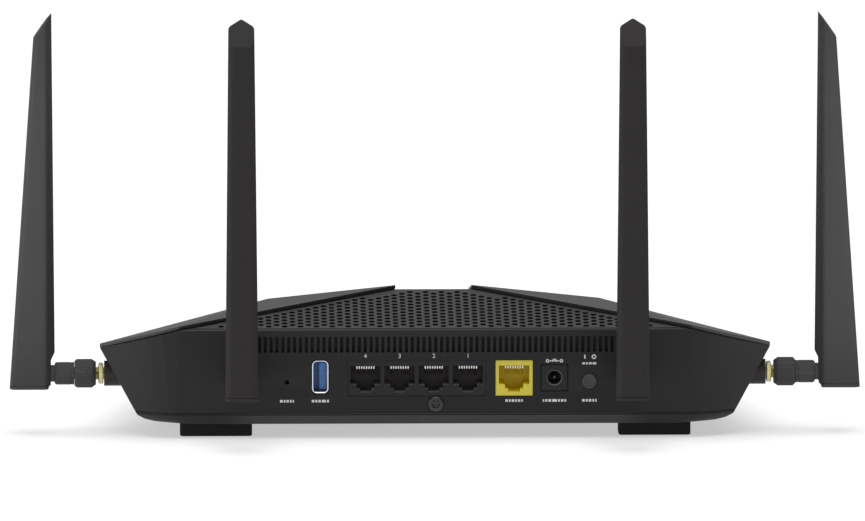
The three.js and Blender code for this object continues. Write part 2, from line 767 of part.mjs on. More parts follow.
function mainBoard() {
  const half = [
    [boardHalf, board.rearY],
    [boardHalf, bodyDepth - board.cornerFromNose],
    [boardHalf - board.frontNarrower, bodyDepth - board.frontFromNose],
  ];
  const outline = [...half, ...half.map(([x, y]) => [-x, y]).reverse()];
  return prism(outline, boardLowZ, boardTopZ);
}

function shieldCan(x0, x1, y0, y1) {
  const lowZ = boardTopZ + gap;
  return box(x0, x1, y0, y1, lowZ, lowZ + can.height);
}

function cpuShield() {
  const half = can.cpu / 2;
  return shieldCan(-half, half, cpuY - half, cpuY + half);
}

function radioShield(side) {
  const edges = [boardHalf - can.radioInset - can.radioWidth, boardHalf - can.radioInset];
  const [x0, x1] = edges.map((x) => side * x).sort((a, b) => a - b);
  return shieldCan(x0, x1, can.radioRearY, bodyDepth - can.radioFromNose);
}

function thermalPad() {
  const half = pad.size / 2;
  const highZ = sinkLowZ - gap;
  return box(-half, half, cpuY - half, cpuY + half, highZ - pad.thickness, highZ);
}

function heatSink() {
  const { width, rearY, base, height, fins, fin } = sink;
  const frontY = rearY + sinkDepth;
  const plate = box(-width / 2, width / 2, rearY, frontY, sinkLowZ, sinkLowZ + base);
  const pitch = (width - fin) / (fins - 1);
  const blades = Array.from({ length: fins }, (_, i) => {
    const x = -width / 2 + i * pitch;
    return box(x, x + fin, rearY, frontY, sinkLowZ + base / 2, sinkLowZ + height);
  });
  return joined([plate, ...blades]);
}

// ---------------------------------------------------------------- antennas

// Every antenna piece is made with its connector along +X, the end of the boss at x = 0 and
// the connector's axis at z = 0. The hinge pin lies along Y.

function connectorJack() {
  const hexEnd = gap + hex.length;
  const hexRadius = hex.acrossCorners / 2;
  const hexagon = turned([[gap, 0], [gap, hexRadius], [hexEnd, hexRadius], [hexEnd, 0]], 6);
  const shaft = bar("x", thread.diameter, gap, thread.endOut, 0, 0);
  const tail = bar("x", jackTail.diameter, -jackTail.length, gap + cut, 0, 0, 16);
  return joined([hexagon, shaft, tail]);
}

function couplingNut() {
  const { startOut, endOut, diameter, chamfer, bore, throat, roof } = nut;
  const outer = diameter / 2;
  return turned([
    [startOut, bore / 2],
    [startOut, outer - chamfer],
    [startOut + chamfer, outer],
    [endOut - chamfer / 2, outer],
    [endOut, outer - chamfer / 2],
    [endOut, throat / 2],
    [endOut - roof, throat / 2],
    [endOut - roof, bore / 2],
    [startOut, bore / 2],
  ]);
}

function antennaBarrel() {
  const startOut = nut.endOut + gap;
  const collarEnd = nut.endOut - nut.roof - gap;
  const outer = barrel.diameter / 2;
  const body = turned([
    [collarEnd - barrel.collarLength, 0],
    [collarEnd - barrel.collarLength, barrel.collar / 2],
    [collarEnd, barrel.collar / 2],
    [collarEnd, barrel.spigot / 2],
    [startOut, barrel.spigot / 2],
    [startOut, outer],
    [barrel.endOut - barrel.chamfer, outer],
    [barrel.endOut, outer - barrel.chamfer],
    [barrel.endOut, 0],
  ]);
  const halfY = tongue.thickness / 2;
  const halfZ = tongue.height / 2;
  const plate = box(barrel.endOut - cut, hinge.out, -halfY, halfY, -halfZ, halfZ);
  const end = bar("y", tongue.height, -halfY, halfY, hinge.out, 0);
  const bore = bar("y", hinge.pin + 2 * gap, -tongue.thickness, tongue.thickness, hinge.out, 0, 16);
  return joined([body, plate, end]).subtract(bore);
}

const hingePin = () => bar("y", hinge.pin, -hinge.pinHalf, hinge.pinHalf, hinge.out, 0, 16);

// The blade's section: a flat outer face with softened edges, and a ridge on the inner side.
// Each point is [how far from inner to outer, how far from the middle to the side].
function bladeSection(depth, width, ridgeDepth) {
  const ridgeShare = ridgeDepth / depth;
  const edgeShare = 1 - blade.edge / depth;
  const faceShare = 1 - (2 * blade.edge) / width;
  return [[0, (2 * blade.backHalf) / width], [ridgeShare, 1], [edgeShare, 1], [1, faceShare]];
}

function antennaBlade() {
  const depth = blade.outerOut - blade.innerOut;
  const topDepth = blade.outerTopOut - blade.innerTopOut;
  const fromBase = (u, w) => [blade.innerOut + u * depth, (w * blade.width) / 2, blade.lowZ];
  const fromTop = (u, w) => [
    blade.innerTopOut + u * topDepth,
    (w * blade.topWidth) / 2,
    blade.peakZ + (blade.cutZ - blade.peakZ) * u,
  ];
  const base = bladeSection(depth, blade.width, blade.ridge).map(([u, w]) => fromBase(u, w));
  const top = bladeSection(topDepth, blade.topWidth, blade.topRidge).map(([u, w]) => fromTop(u, w));
  const bothSides = [...base, ...top].flatMap(([x, y, z]) => [[x, y, z], [x, -y, z]]);
  const cheekBore = blade.width / 2 - hinge.cheekSkin;
  return without(convex(bothSides), [
    ridgeRelief(),
    hingeSlot(),
    sweepRelief(),
    bar("y", hinge.pin + 2 * gap, -cheekBore, cheekBore, hinge.out, 0, 16),
  ]);
}

// Below the ridge's end the inner side is a plain flat, with a sloping step up to the ridge.
function ridgeRelief() {
  const outline = [
    [blade.innerOut - cut, blade.lowZ - cut],
    [blade.flatOut, blade.lowZ - cut],
    [blade.flatOut, blade.flatTopZ - blade.stepRise / 2],
    [blade.innerOut - cut, blade.flatTopZ + blade.stepRise / 2],
  ];
  return slab(outline, -blade.width, blade.width);
}

// Open towards the connector and downwards, so that the tongue can lie either way.
function hingeSlot() {
  const reach = tongue.height / 2 + gap + tongue.headroom;
  const half = tongue.thickness / 2 + gap;
  return box(blade.innerOut - cut, hinge.out + reach, -half, half, blade.lowZ - cut, reach);
}

// The corners of the cheeks that pass over the barrel's end as the blade folds.
function sweepRelief() {
  const half = barrel.diameter / 2 + gap;
  const nearCorner = hinge.out - barrel.endOut - gap;
  const reach = Math.sqrt(nearCorner ** 2 - blade.lowZ ** 2);
  const { fromBarrel, cheekIn, lowIn } = relief;
  const highZ = fromBarrel - barrel.diameter / 2;
  const outline = [
    [blade.innerOut - cut, highZ],
    [hinge.out - nearCorner + cheekIn, highZ],
    [hinge.out - reach + lowIn, blade.lowZ - cut],
    [blade.innerOut - cut, blade.lowZ - cut],
  ];
  return slab(outline, -half, half);
}

const antennas = [
  { name: "rear_left", position: [-rearConnectorX, -rearConnector.boss, rearConnector.z], turn: -90 },
  { name: "rear_right", position: [rearConnectorX, -rearConnector.boss, rearConnector.z], turn: -90 },
  { name: "side_left", position: [-sideBossEnd, sideConnector.y, sideConnector.z], turn: 180 },
  { name: "side_right", position: [sideBossEnd, sideConnector.y, sideConnector.z], turn: 0 },
];

function antenna({ name, position, turn }) {
  const group = new THREE.Group();
  group.position.set(...position);
  group.rotation.z = THREE.MathUtils.degToRad(turn);
  group.add(piece(name + "_connector", connectorJack(), "brass"));
  group.add(piece(name + "_nut", couplingNut(), "antenna"));
  group.add(piece(name + "_barrel", antennaBarrel(), "antenna"));
  group.add(piece(name + "_hinge_pin", hingePin(), "darkSteel"));
  group.add(piece(name + "_blade", antennaBlade(), "antenna"));
  return group;
}

// A thin lead from a connector's tail down to the board, routed by the points given.
function antennaLead(points) {
  const curve = new THREE.CatmullRomCurve3(points.map(([x, y, z]) => new THREE.Vector3(x, y, z)));
  const section = new THREE.Shape();
  section.absarc(0, 0, lead.diameter / 2, 0, 2 * Math.PI);
  const geometry = new THREE.ExtrudeGeometry(section, {
    steps: lead.steps,
    curveSegments: lead.sides / 2,
    bevelEnabled: false,
    extrudePath: curve,
  });
  return solid(geometry);
}

const leadEndZ = boardTopZ + gap + lead.diameter / 2;

// Both kinds of lead start straight out of the connector's tail.
function rearLead(side) {
  const x = side * rearConnectorX;
  const tailY = jackTail.length - rearConnector.boss + gap;
  const route = rearLeadRoute.map(([inwards, forwards, up]) => [
    x - side * inwards,
    tailY + forwards,
    leadEndZ + up,
  ]);
  return antennaLead([[x, tailY, rearConnector.z], ...route]);
}

function sideLead(side) {
  const tailX = sideBossEnd - jackTail.length - gap;
  const route = sideLeadRoute.map(([inwards, forwards, up]) => [
    side * (tailX - inwards),
    sideConnector.y + forwards,
    leadEndZ + up,
  ]);
  return antennaLead([[side * tailX, sideConnector.y, sideConnector.z], ...route]);
}

// ---------------------------------------------------------------- assembly

const router = new THREE.Group();
const add = (name, body, finish) => router.add(piece(name, body, finish));

add("main_housing", mainHousing(), "housing");
add("bottom_cover", bottomCover(), "housing");
add("rear_grille", grille("rear"), "grille");
add("front_grille", grille("front"), "grille");
add("left_wing_cover", wingCover(-1), "wing");
add("right_wing_cover", wingCover(1), "wing");
add("led_bezel", ledBezel(), "gloss");
add("light_pipe", lightPipe(), "clear");
add("wifi_button", deckKey(-1), "gloss");
add("wps_button", deckKey(1), "gloss");

add("lan_jack_block", lanJackBlock(), "jackBlack");
add("wan_jack", wanJackBody(), "jackYellow");
add("usb_shell", usbShell(), "steel");
add("usb_tongue", usbTonguePiece(), "usbBlue");
add("dc_jack", dcJackBody(), "jackBlack");
add("dc_jack_pin", dcPin(), "steel");
add("power_button", powerButtonPiece(), "housing");
add("power_switch_body", powerSwitchBody(), "jackBlack");
add("reset_plunger", resetPlunger(), "housing");
add("reset_switch_body", resetSwitchBody(), "jackBlack");
add("rear_screw", rearScrewPiece(), "darkSteel");

add("main_board", mainBoard(), "board");
add("cpu_shield", cpuShield(), "tin");
add("left_radio_shield", radioShield(-1), "tin");
add("right_radio_shield", radioShield(1), "tin");
add("thermal_pad", thermalPad(), "pad");
add("heat_sink", heatSink(), "aluminium");

antennas.forEach((one) => router.add(antenna(one)));
add("rear_left_lead", rearLead(-1), "lead");
add("rear_right_lead", rearLead(1), "lead");
add("side_left_lead", sideLead(-1), "lead");
add("side_right_lead", sideLead(1), "lead");

const corners = ["right_rear", "left_rear", "right_front", "left_front"];
corners.forEach((corner, i) => {
  const [footX, footY] = footPlaces[i];
  add(corner + "_foot", footSolid(footX, footY, 0, bottomZ + foot.recess - gap), "rubber");
  add(corner + "_screw", caseScrewPiece(...screwPlaces[i]), "darkSteel");
});

router.position.y = -(bodyDepth + rearReach) / 2;

export default router;
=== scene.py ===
import json
import math

import bmesh
import bpy
from mathutils import Matrix, Vector
from mathutils.geometry import delaunay_2d_cdt


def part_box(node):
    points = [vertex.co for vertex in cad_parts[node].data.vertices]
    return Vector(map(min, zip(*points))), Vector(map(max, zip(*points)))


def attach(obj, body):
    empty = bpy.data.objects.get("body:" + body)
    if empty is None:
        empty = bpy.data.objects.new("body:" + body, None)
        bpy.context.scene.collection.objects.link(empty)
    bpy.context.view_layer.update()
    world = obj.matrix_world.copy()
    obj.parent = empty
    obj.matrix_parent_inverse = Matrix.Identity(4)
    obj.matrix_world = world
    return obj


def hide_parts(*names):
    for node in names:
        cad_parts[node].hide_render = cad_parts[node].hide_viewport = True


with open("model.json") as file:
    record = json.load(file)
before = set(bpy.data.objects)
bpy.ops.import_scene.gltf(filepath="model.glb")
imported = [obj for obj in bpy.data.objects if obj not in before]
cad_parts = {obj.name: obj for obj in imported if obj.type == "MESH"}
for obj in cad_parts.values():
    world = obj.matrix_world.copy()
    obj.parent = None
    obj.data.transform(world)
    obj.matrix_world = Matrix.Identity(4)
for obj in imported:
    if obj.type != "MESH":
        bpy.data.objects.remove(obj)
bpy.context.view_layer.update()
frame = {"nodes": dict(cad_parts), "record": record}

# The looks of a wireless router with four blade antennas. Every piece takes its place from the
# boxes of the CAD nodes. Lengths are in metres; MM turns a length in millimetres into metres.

MM = 0.001
WELD = 1e-6  # points closer than this are one
NEAR = 1e-5  # a point this close to a plane lies in it
scene = bpy.context.scene
home = {
    node: body
    for body, nodes in frame["record"]["behaviour"]["bodies"].items()
    for node in nodes
}


def rear_wall():
    """The largest flat face of the housing that looks backwards: its place along Y and its top."""
    mesh = frame["nodes"]["main_housing"].data
    areas = {}
    for polygon in mesh.polygons:
        if polygon.normal.y < -0.99:
            place = round(polygon.center.y, 5)
            areas[place] = areas.get(place, 0) + polygon.area
    place = max(areas, key=areas.get)
    heights = [v.co.z for v in mesh.vertices if abs(v.co.y - place) < NEAR]
    return place, max(heights)


rear_y, rear_top = rear_wall()
ANTENNAS = ("rear_left", "rear_right", "side_left", "side_right")


# ---------------------------------------------------------------- camera and studio

VIEW_AZIMUTH = math.radians(-1.2)
VIEW_ELEVATION = math.radians(8)
VIEW_DISTANCE = 8.0
VIEW_WIDTH = 363.3 * MM  # what the picture spans at the rear face
VIEW_CENTRE = (0.13 * MM, 64.7 * MM)  # the picture's middle, along its own right and up


def make_camera():
    """A long lens that looks slightly down at the port side, from just left of its middle."""
    back = Vector((
        math.sin(VIEW_AZIMUTH) * math.cos(VIEW_ELEVATION),
        -math.cos(VIEW_AZIMUTH) * math.cos(VIEW_ELEVATION),
        math.sin(VIEW_ELEVATION),
    ))
    turn = (-back).to_track_quat("-Z", "Y")
    right = turn @ Vector((1, 0, 0))
    up = turn @ Vector((0, 1, 0))
    data = bpy.data.cameras.new("camera")
    data.lens = data.sensor_width * (VIEW_DISTANCE + rear_y) / VIEW_WIDTH
    data.clip_end = 100
    camera = bpy.data.objects.new("camera", data)
    camera.rotation_mode = "QUATERNION"
    camera.rotation_quaternion = turn
    camera.location = right * VIEW_CENTRE[0] + up * VIEW_CENTRE[1] + back * VIEW_DISTANCE
    scene.collection.objects.link(camera)
    scene.camera = camera


def add_light(name, location, target, size, power, spread=180):
    data = bpy.data.lights.new(name, "AREA")
    data.shape = "RECTANGLE"
    data.size, data.size_y = size
    data.energy = power
    data.spread = math.radians(spread)
    light = bpy.data.objects.new(name, data)
    light.location = location
    light.rotation_mode = "QUATERNION"
    light.rotation_quaternion = (Vector(target) - Vector(location)).to_track_quat("-Z", "Y")
    scene.collection.objects.link(light)


WORLD_LIGHT = 0.3
SUN_POWER = 3.0
SUN_ANGLE = math.radians(64)  # wide, so that its shadows are soft
FLOOR_HALF = 8.0
FLOOR_GREY = 0.45
FLOOR_GLOW = 0.5


def make_world():
    world = bpy.data.worlds.new("studio")
    scene.world = world
    world.use_nodes = True
    background = world.node_tree.nodes["Background"]
    background.inputs["Color"].default_value = (1, 1, 1, 1)
    background.inputs["Strength"].default_value = WORLD_LIGHT


def make_lights():
    """A soft light overhead, a fill from the left and a narrow beam for each side antenna."""
    sky = bpy.data.lights.new("overhead", "SUN")
    sky.energy = SUN_POWER
    sky.angle = SUN_ANGLE
    overhead = bpy.data.objects.new("overhead", sky)
    scene.collection.objects.link(overhead)
    add_light("left", (-1.1, -0.35, 0.3), (-0.1, -0.1, 0.1), (0.4, 0.5), 3)
    for side in (-1, 1):
        at = (side * 0.42, -0.52, 0.13)
        target = (side * 0.172, -0.052, 0.1)
        add_light("antenna_beam", at, target, (0.03, 0.16), 0.028, 12)


def make_floor():
    """A pale floor that glows a little, so that it comes out white away from the shadows."""
    mesh = bpy.data.meshes.new("floor")
    half = FLOOR_HALF
    corners = [(-half, -half, 0), (half, -half, 0), (half, half, 0), (-half, half, 0)]
    mesh.from_pydata(corners, [], [(0, 1, 2, 3)])
    floor = bpy.data.objects.new("floor", mesh)
    floor.location.z = -0.05 * MM
    scene.collection.objects.link(floor)
    material = bpy.data.materials.new("floor")
    material.use_nodes = True
    shader = material.node_tree.nodes["Principled BSDF"]
    shader.inputs["Base Color"].default_value = (FLOOR_GREY, FLOOR_GREY, FLOOR_GREY, 1)
    shader.inputs["Roughness"].default_value = 0.9
    shader.inputs["Specular IOR Level"].default_value = 0.1
    shader.inputs["Emission Color"].default_value = (1, 1, 1, 1)
    shader.inputs["Emission Strength"].default_value = FLOOR_GLOW
    mesh.materials.append(material)


def make_studio():
    scene.view_settings.view_transform = "Standard"
    make_world()
    make_lights()
    make_floor()


# ---------------------------------------------------------------- materials

class Shader:
    """A material whose nodes are added one by one."""

    def __init__(self, name):
        self.material = bpy.data.materials.new(name)
        self.material.use_nodes = True
        self.nodes = self.material.node_tree.nodes
        self.links = self.material.node_tree.links
        self.out = self.nodes["Principled BSDF"]
        self.where = self.nodes.new("ShaderNodeTexCoord").outputs["Object"]

    def link(self, source, target):
        self.links.new(source, target)

    def noise(self, size, detail=2.0, stretch=(1, 1, 1)):
        """Noise from 0 to 1, whose features are about "size" metres across."""
        mapping = self.nodes.new("ShaderNodeMapping")
        mapping.inputs["Scale"].default_value = stretch
        self.link(self.where, mapping.inputs["Vector"])
        noise = self.nodes.new("ShaderNodeTexNoise")
        noise.inputs["Scale"].default_value = 1 / size
        noise.inputs["Detail"].default_value = detail
        self.link(mapping.outputs["Vector"], noise.inputs["Vector"])
        return noise.outputs["Fac"]

    def spread(self, value, low, high, to_low, to_high):
        ranged = self.nodes.new("ShaderNodeMapRange")
        ends = {"From Min": low, "From Max": high, "To Min": to_low, "To Max": to_high}
        for name, number in ends.items():
            ranged.inputs[name].default_value = number
        self.link(value, ranged.inputs["Value"])
        return ranged.outputs["Result"]

    def mix(self, factor, a, b):
        """Colour a, turning into b as the factor goes from 0 to 1. Either may be a socket."""
        mixer = self.nodes.new("ShaderNodeMix")
        mixer.data_type = "RGBA"
        self.link(factor, mixer.inputs["Factor"])
        for socket, color in ((mixer.inputs["A"], a), (mixer.inputs["B"], b)):
            if isinstance(color, tuple):
                socket.default_value = (*color, 1)
            else:
                self.link(color, socket)
        return mixer.outputs["Result"]

    def relief(self, height, depth, strength=1.0, under=None):
        bump = self.nodes.new("ShaderNodeBump")
        bump.inputs["Strength"].default_value = strength
        bump.inputs["Distance"].default_value = depth
        self.link(height, bump.inputs["Height"])
        if under:
            self.link(under, bump.inputs["Normal"])
        return bump.outputs["Normal"]


def shade(color, factor):
    return tuple(min(1.0, channel * factor) for channel in color)


def surface(name, color, roughness, metallic=0.0, grain=0.35, depth=0.02, uneven=0.12,
            wear=1.5, specular=0.5, stretch=(1, 1, 1), coat=0.0, ends=None):
    """Moulded or plated stock: slow unevenness, a fine grain in the relief and worn edges.
    Grain is its size and depth its height, both in millimetres. Ends (from, to, share) scales its
    colour by the share away from the middle of X: painted light above 1, painted shade below 1."""
    made = Shader(name)
    slow = made.noise(24 * MM, 3.0)
    fine = made.noise(grain * MM, 2.0, stretch)
    base = made.mix(slow, shade(color, 1 - uneven), shade(color, 1 + uneven))
    specks = made.spread(fine, 0.35, 0.75, 0.0, 0.35)
    base = made.mix(specks, base, shade(color, 1 + 2 * uneven))
    geometry = made.nodes.new("ShaderNodeNewGeometry")
    edges = made.spread(geometry.outputs["Pointiness"], 0.52, 0.62, 0.0, 0.6)
    base = made.mix(edges, base, shade(color, wear))
    # painted light and shade: the colour is scaled by the share towards both ends of X
    if ends:
        parts = made.nodes.new("ShaderNodeSeparateXYZ")
        made.link(made.where, parts.inputs["Vector"])
        reach = made.nodes.new("ShaderNodeMath")
        reach.operation = "ABSOLUTE"
        made.link(parts.outputs["X"], reach.inputs[0])
        painted_ends_mask = made.spread(reach.outputs["Value"], ends[0], ends[1], 0.0, 1.0)
        base = made.mix(painted_ends_mask, base, shade(color, ends[2]))
    made.link(base, made.out.inputs["Base Color"])
    rough = made.spread(fine, 0.2, 0.8, roughness * 0.9, min(1.0, roughness * 1.12))
    made.link(rough, made.out.inputs["Roughness"])
    made.out.inputs["Metallic"].default_value = metallic
    made.out.inputs["Specular IOR Level"].default_value = specular
    made.out.inputs["Coat Weight"].default_value = coat
    wide = made.relief(made.noise(6 * MM), 0.02 * MM, 0.4)
    made.link(made.relief(fine, depth * MM, 0.9, wide), made.out.inputs["Normal"])
    return made.material


def circuit_board(name):
    """Green solder mask with a faint pattern of tracks under it."""
    made = Shader(name)
    tracks = made.nodes.new("ShaderNodeTexBrick")
    tracks.inputs["Scale"].default_value = 1 / (14 * MM)
    tracks.inputs["Mortar Size"].default_value = 0.03
    made.link(made.where, tracks.inputs["Vector"])
    base = made.mix(made.noise(9 * MM), (0.010, 0.075, 0.028), (0.018, 0.12, 0.045))
    lines = made.spread(tracks.outputs["Fac"], 0.0, 1.0, 0.0, 0.7)
    made.link(made.mix(lines, base, (0.03, 0.2, 0.08)), made.out.inputs["Base Color"])
    made.out.inputs["Roughness"].default_value = 0.35
    normal = made.relief(tracks.outputs["Fac"], 0.03 * MM, 0.6)
    made.link(normal, made.out.inputs["Normal"])
    return made.material


def clear_plastic(name):
    made = Shader(name)
    cloud = made.noise(3 * MM)
    made.link(made.mix(cloud, (0.62, 0.66, 0.68), (0.75, 0.79, 0.8)), made.out.inputs["Base Color"])
    made.out.inputs["Roughness"].default_value = 0.2
    made.out.inputs["Transmission Weight"].default_value = 0.35
    made.link(made.relief(cloud, 0.02 * MM, 0.5), made.out.inputs["Normal"])
    return made.material


FINISH = {
    "housing": surface(
        "housing", (0.0098, 0.0085, 0.0092), 0.5, specular=0.3, wear=2.2,
        # painted light: the housing grows up to 1.5 times lighter towards both ends of X
        ends=(78 * MM, 92 * MM, 1.5),
    ),
    "wing": surface("wing", (0.035, 0.038, 0.0362), 0.42, grain=0.2, depth=0.01, specular=0.5),
    "grille": surface("grille", (0.022, 0.0205, 0.021), 0.45, specular=0.4, wear=1.8),
    "gloss": surface(
        "gloss", (0.006, 0.006, 0.007), 0.1, grain=2.0, depth=0.004, uneven=0.05, coat=0.5,
    ),
    "antenna": surface(
        "antenna", (0.031, 0.0285, 0.0294), 0.62, grain=0.5, depth=0.006, specular=0.07,
    ),
    "rubber": surface("rubber", (0.010, 0.0095, 0.010), 0.8, grain=0.6, depth=0.04, specular=0.25),
    "brass": surface("brass", (0.52, 0.47, 0.24), 0.3, 1.0, grain=0.5, depth=0.01, wear=1.3),
    "steel": surface("steel", (0.66, 0.69, 0.76), 0.24, 1.0, 0.4, 0.006, stretch=(1, 1, 6), wear=1.2),
    "dark_steel": surface("dark_steel", (0.05, 0.048, 0.05), 0.42, 0.7, grain=0.3, depth=0.01),
    "tin": surface("tin", (0.5, 0.51, 0.52), 0.36, 1.0, grain=0.8, depth=0.012, wear=1.2),
    "jack_black": surface("jack_black", (0.0125, 0.0112, 0.0125), 0.5, specular=0.3),
    "jack_yellow": surface("jack_yellow", (0.64, 0.55, 0.045), 0.42, uneven=0.06, wear=1.15),
    "usb_blue": surface("usb_blue", (0.02, 0.09, 0.28), 0.45, uneven=0.08, wear=1.3),
    "board": circuit_board("board"),
    "aluminium": surface("aluminium", (0.5, 0.51, 0.52), 0.42, 1.0, 0.5, 0.01, stretch=(1, 0.1, 1)),
    "pad": surface("pad", (0.27, 0.32, 0.38), 0.9, grain=1.2, depth=0.06, uneven=0.1),
    "clear": clear_plastic("clear"),
    "lead": surface("lead", (0.14, 0.15, 0.16), 0.6, grain=0.3, depth=0.02),
}
# A lighter copy of the antenna finish: painted light in place of the side light on the side blades'
# broad faces. The nuts and barrels use it too.
ANTENNA_PAINTED_LIT = surface(
    "antenna_painted_lit", (0.041, 0.0392, 0.0396), 0.62, grain=0.5, depth=0.006, specular=0.04,
)
# Bottom cover: a colour lighter than the housing's is painted light, in place of the floor's light on
# its lower band; share 0.2 paints shade towards both ends of X.
LOWER_SHELL_PAINTED_LIGHT = surface(
    "lower_shell_painted_light", (0.034, 0.031, 0.032), 0.5, specular=0.34, wear=1.6,
    ends=(76 * MM, 90 * MM, 0.2),
)
# Cavity materials lighter than their blocks' own: painted light in place of the shade inside the
# sockets.
JACK_CAVITY_PAINTED_LIGHT = surface("jack_inside", (0.12, 0.108, 0.112), 0.6, specular=0.2)
YELLOW_CAVITY_PAINTED_LIGHT = surface("yellow_inside", (0.85, 0.68, 0.008), 0.45, uneven=0.06, wear=1.1)
BUTTON = surface("button", (0.05, 0.046, 0.047), 0.5, specular=0.35)
# A dark sheet behind the vent slots: painted shade, standing in for the dark inside of the housing.
VENT_SHADE_SHEET = surface("painted_vent_shade", (0.05, 0.045, 0.047), 0.9, grain=0.5, depth=0.05, specular=0.1)
BRIGHT_BLUE = surface("bright_blue", (0.05, 0.19, 0.5), 0.38, uneven=0.08, wear=1.3)
DARK_LIP = surface("dark_lip", (0.009, 0.008, 0.009), 0.6, specular=0.2)
PRINT = surface("print", (0.5, 0.49, 0.49), 0.6, uneven=0.15, grain=0.15)
CONTACT = surface("contact", (0.78, 0.76, 0.7), 0.25, 1.0, grain=0.4, depth=0.004, wear=1.1)
CHIP = surface("chip", (0.014, 0.014, 0.015), 0.55, grain=0.25, depth=0.02)
slot_of = {part["node"]: part["material_slot"] for part in frame["record"]["subparts"]}


# ---------------------------------------------------------------- mesh helpers

SHARP = math.radians(28)  # faces that meet at more than this make an edge
LARGE = 60 * MM * MM  # square metres: a face this big is flat, not part of a rounding


def add_piece(name, mesh, material, body="root", nodes=()):
    mesh.materials.clear()
    mesh.materials.append(material)
    piece = bpy.data.objects.new(name, mesh)
    scene.collection.objects.link(piece)
    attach(piece, body)
    if nodes:
        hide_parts(*nodes)
    return piece


def to_mesh(name, work, smooth=True):
    """Turns a bmesh into a mesh, with its points merged and its faces turned outwards.
    Only faces that meet another at a slight angle, as in a rounding, are shaded smooth."""
    bmesh.ops.remove_doubles(work, verts=work.verts, dist=WELD)
    bmesh.ops.recalc_face_normals(work, faces=work.faces)
    for edge in work.edges:
        angle = edge.calc_face_angle(math.pi)
        edge.smooth = angle < SHARP
        curved = smooth and math.radians(0.5) < angle < SHARP
        for face in edge.link_faces:
            face.smooth = face.smooth or (curved and face.calc_area() < LARGE)
    mesh = bpy.data.meshes.new(name)
    work.to_mesh(mesh)
    work.free()
    return mesh


def soften(piece, width, angle=28):
    """Rounds the edges that are sharper than "angle" degrees, and keeps the flat faces flat.
    A piece with bevel weights has only its weighted edges rounded."""
    if width:
        bevel = piece.modifiers.new("edges", "BEVEL")
        bevel.width = width * MM
        bevel.segments = 2
        bevel.limit_method = "ANGLE"
        if "bevel_weight_edge" in piece.data.attributes:
            bevel.limit_method = "WEIGHT"
        bevel.angle_limit = math.radians(angle)
        bevel.use_clamp_overlap = False
        bevel.miter_outer = "MITER_ARC"
    weighted = piece.modifiers.new("normals", "WEIGHTED_NORMAL")
    weighted.keep_sharp = True
    return piece


def cad_copy(node, flat_faces=True):
    """The CAD node's mesh. Its triangles can be merged back where no flat face has a hole."""
    work = bmesh.new()
    work.from_mesh(frame["nodes"][node].data)
    bmesh.ops.remove_doubles(work, verts=work.verts, dist=WELD)
    for face in work.faces:
        face.smooth = False
    if flat_faces:
        bmesh.ops.dissolve_limit(
            work, angle_limit=math.radians(0.5), verts=work.verts, edges=work.edges,
        )
    return work


def refined(node, width, material=None, work=None, angle=28):
    """A finished piece in place of a CAD node, in the node's own shape."""
    mesh = to_mesh(node + "_shape", work or cad_copy(node, False))
    slot = slot_of[node]
    material = material or FINISH[slot]
    piece = add_piece(mesh.name, mesh, material, home[node], [node])
    return soften(piece, width, angle=angle)


def skin(work, rings, around=True):
    """Joins rings of equally many points. With "around" off, each ring is a strip with two ends."""
    made = [[work.verts.new(point) for point in ring] for ring in rings]
    count = len(made[0])
    for low, high in zip(made, made[1:]):
        for i in range(count if around else count - 1):
            after = (i + 1) % count
            work.faces.new((low[i], low[after], high[after], high[i]))
    return made


def loft(work, rings):
    """Joins rings of equally many points into one closed body, with flat ends."""
    made = skin(work, rings)
    for end in (made[0], made[-1]):
        if (end[0].co - end[1].co).length > WELD:
            work.faces.new(end)
    return work


def turned(work, profile, sides=64, lobes=0):
    """Turns a profile of (along, radius, share of lobes) about the X axis, in millimetres."""
    rings = []
    for along, radius, *ripple in profile:
        ring = []
        for i in range(sides):
            angle = 2 * math.pi * i / sides
            swell = 1 + (ripple[0] if ripple else 0) * math.cos(lobes * angle)
            reach = radius * swell
            ring.append(Vector((along, reach * math.cos(angle), reach * math.sin(angle))) * MM)
        rings.append(ring)
    return loft(work, rings)


def rounded_outline(x0, x1, z0, z1, radius, steps=6):
    """A rounded rectangle as (x, z) points, anticlockwise, in the units it is given in."""
    points = []
    centres = [(x1 - radius, z1 - radius), (x0 + radius, z1 - radius),
               (x0 + radius, z0 + radius), (x1 - radius, z0 + radius)]
    for quarter, (cx, cz) in enumerate(centres):
        for i in range(steps + 1):
            angle = math.pi / 2 * (quarter + i / steps)
            points.append((cx + radius * math.cos(angle), cz + radius * math.sin(angle)))
    return points


def block(work, low, high, radius=0.2):
    """A box with rounded upright edges and a bevelled top, between two corners."""
    r = radius * MM
    rings = []
    for z, inset in ((low.z, 0), (high.z - r / 2, 0), (high.z, r / 2)):
        outline = rounded_outline(
            low.x + inset, high.x - inset, low.y + inset, high.y - inset, r, 2,
        )
        rings.append([Vector((x, y, z)) for x, y in outline])
    return loft(work, rings)


def along(node):
    """The middle of a node's box."""
    return (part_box(node)[0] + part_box(node)[1]) / 2


def axis_frame(origin, direction, up=(0, 0, 1)):
    """A matrix whose X axis runs along a direction, and whose Z axis is as near "up" as it can be."""
    x = Vector(direction).normalized()
    y = Vector(up).cross(x).normalized()
    z = x.cross(y)
    return Matrix.Translation(origin) @ Matrix((x, y, z)).transposed().to_4x4()


def forwards(node):
    """A matrix whose X axis runs forwards from the middle of a node's rear end."""
    origin = along(node)
    origin.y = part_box(node)[0].y
    return axis_frame(origin, (0, 1, 0))


def placed(node, work, matrix, material=None):
    """A finished piece in place of a CAD node, moved there from where it was modelled."""
    bmesh.ops.transform(work, matrix=matrix, verts=work.verts)
    return refined(node, 0, work=work, material=material)


def sizes_of(node):
    """The lengths of a node's box along X, Y and Z, in millimetres."""
    low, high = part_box(node)
    return (high - low) / MM


# ---------------------------------------------------------------- housing

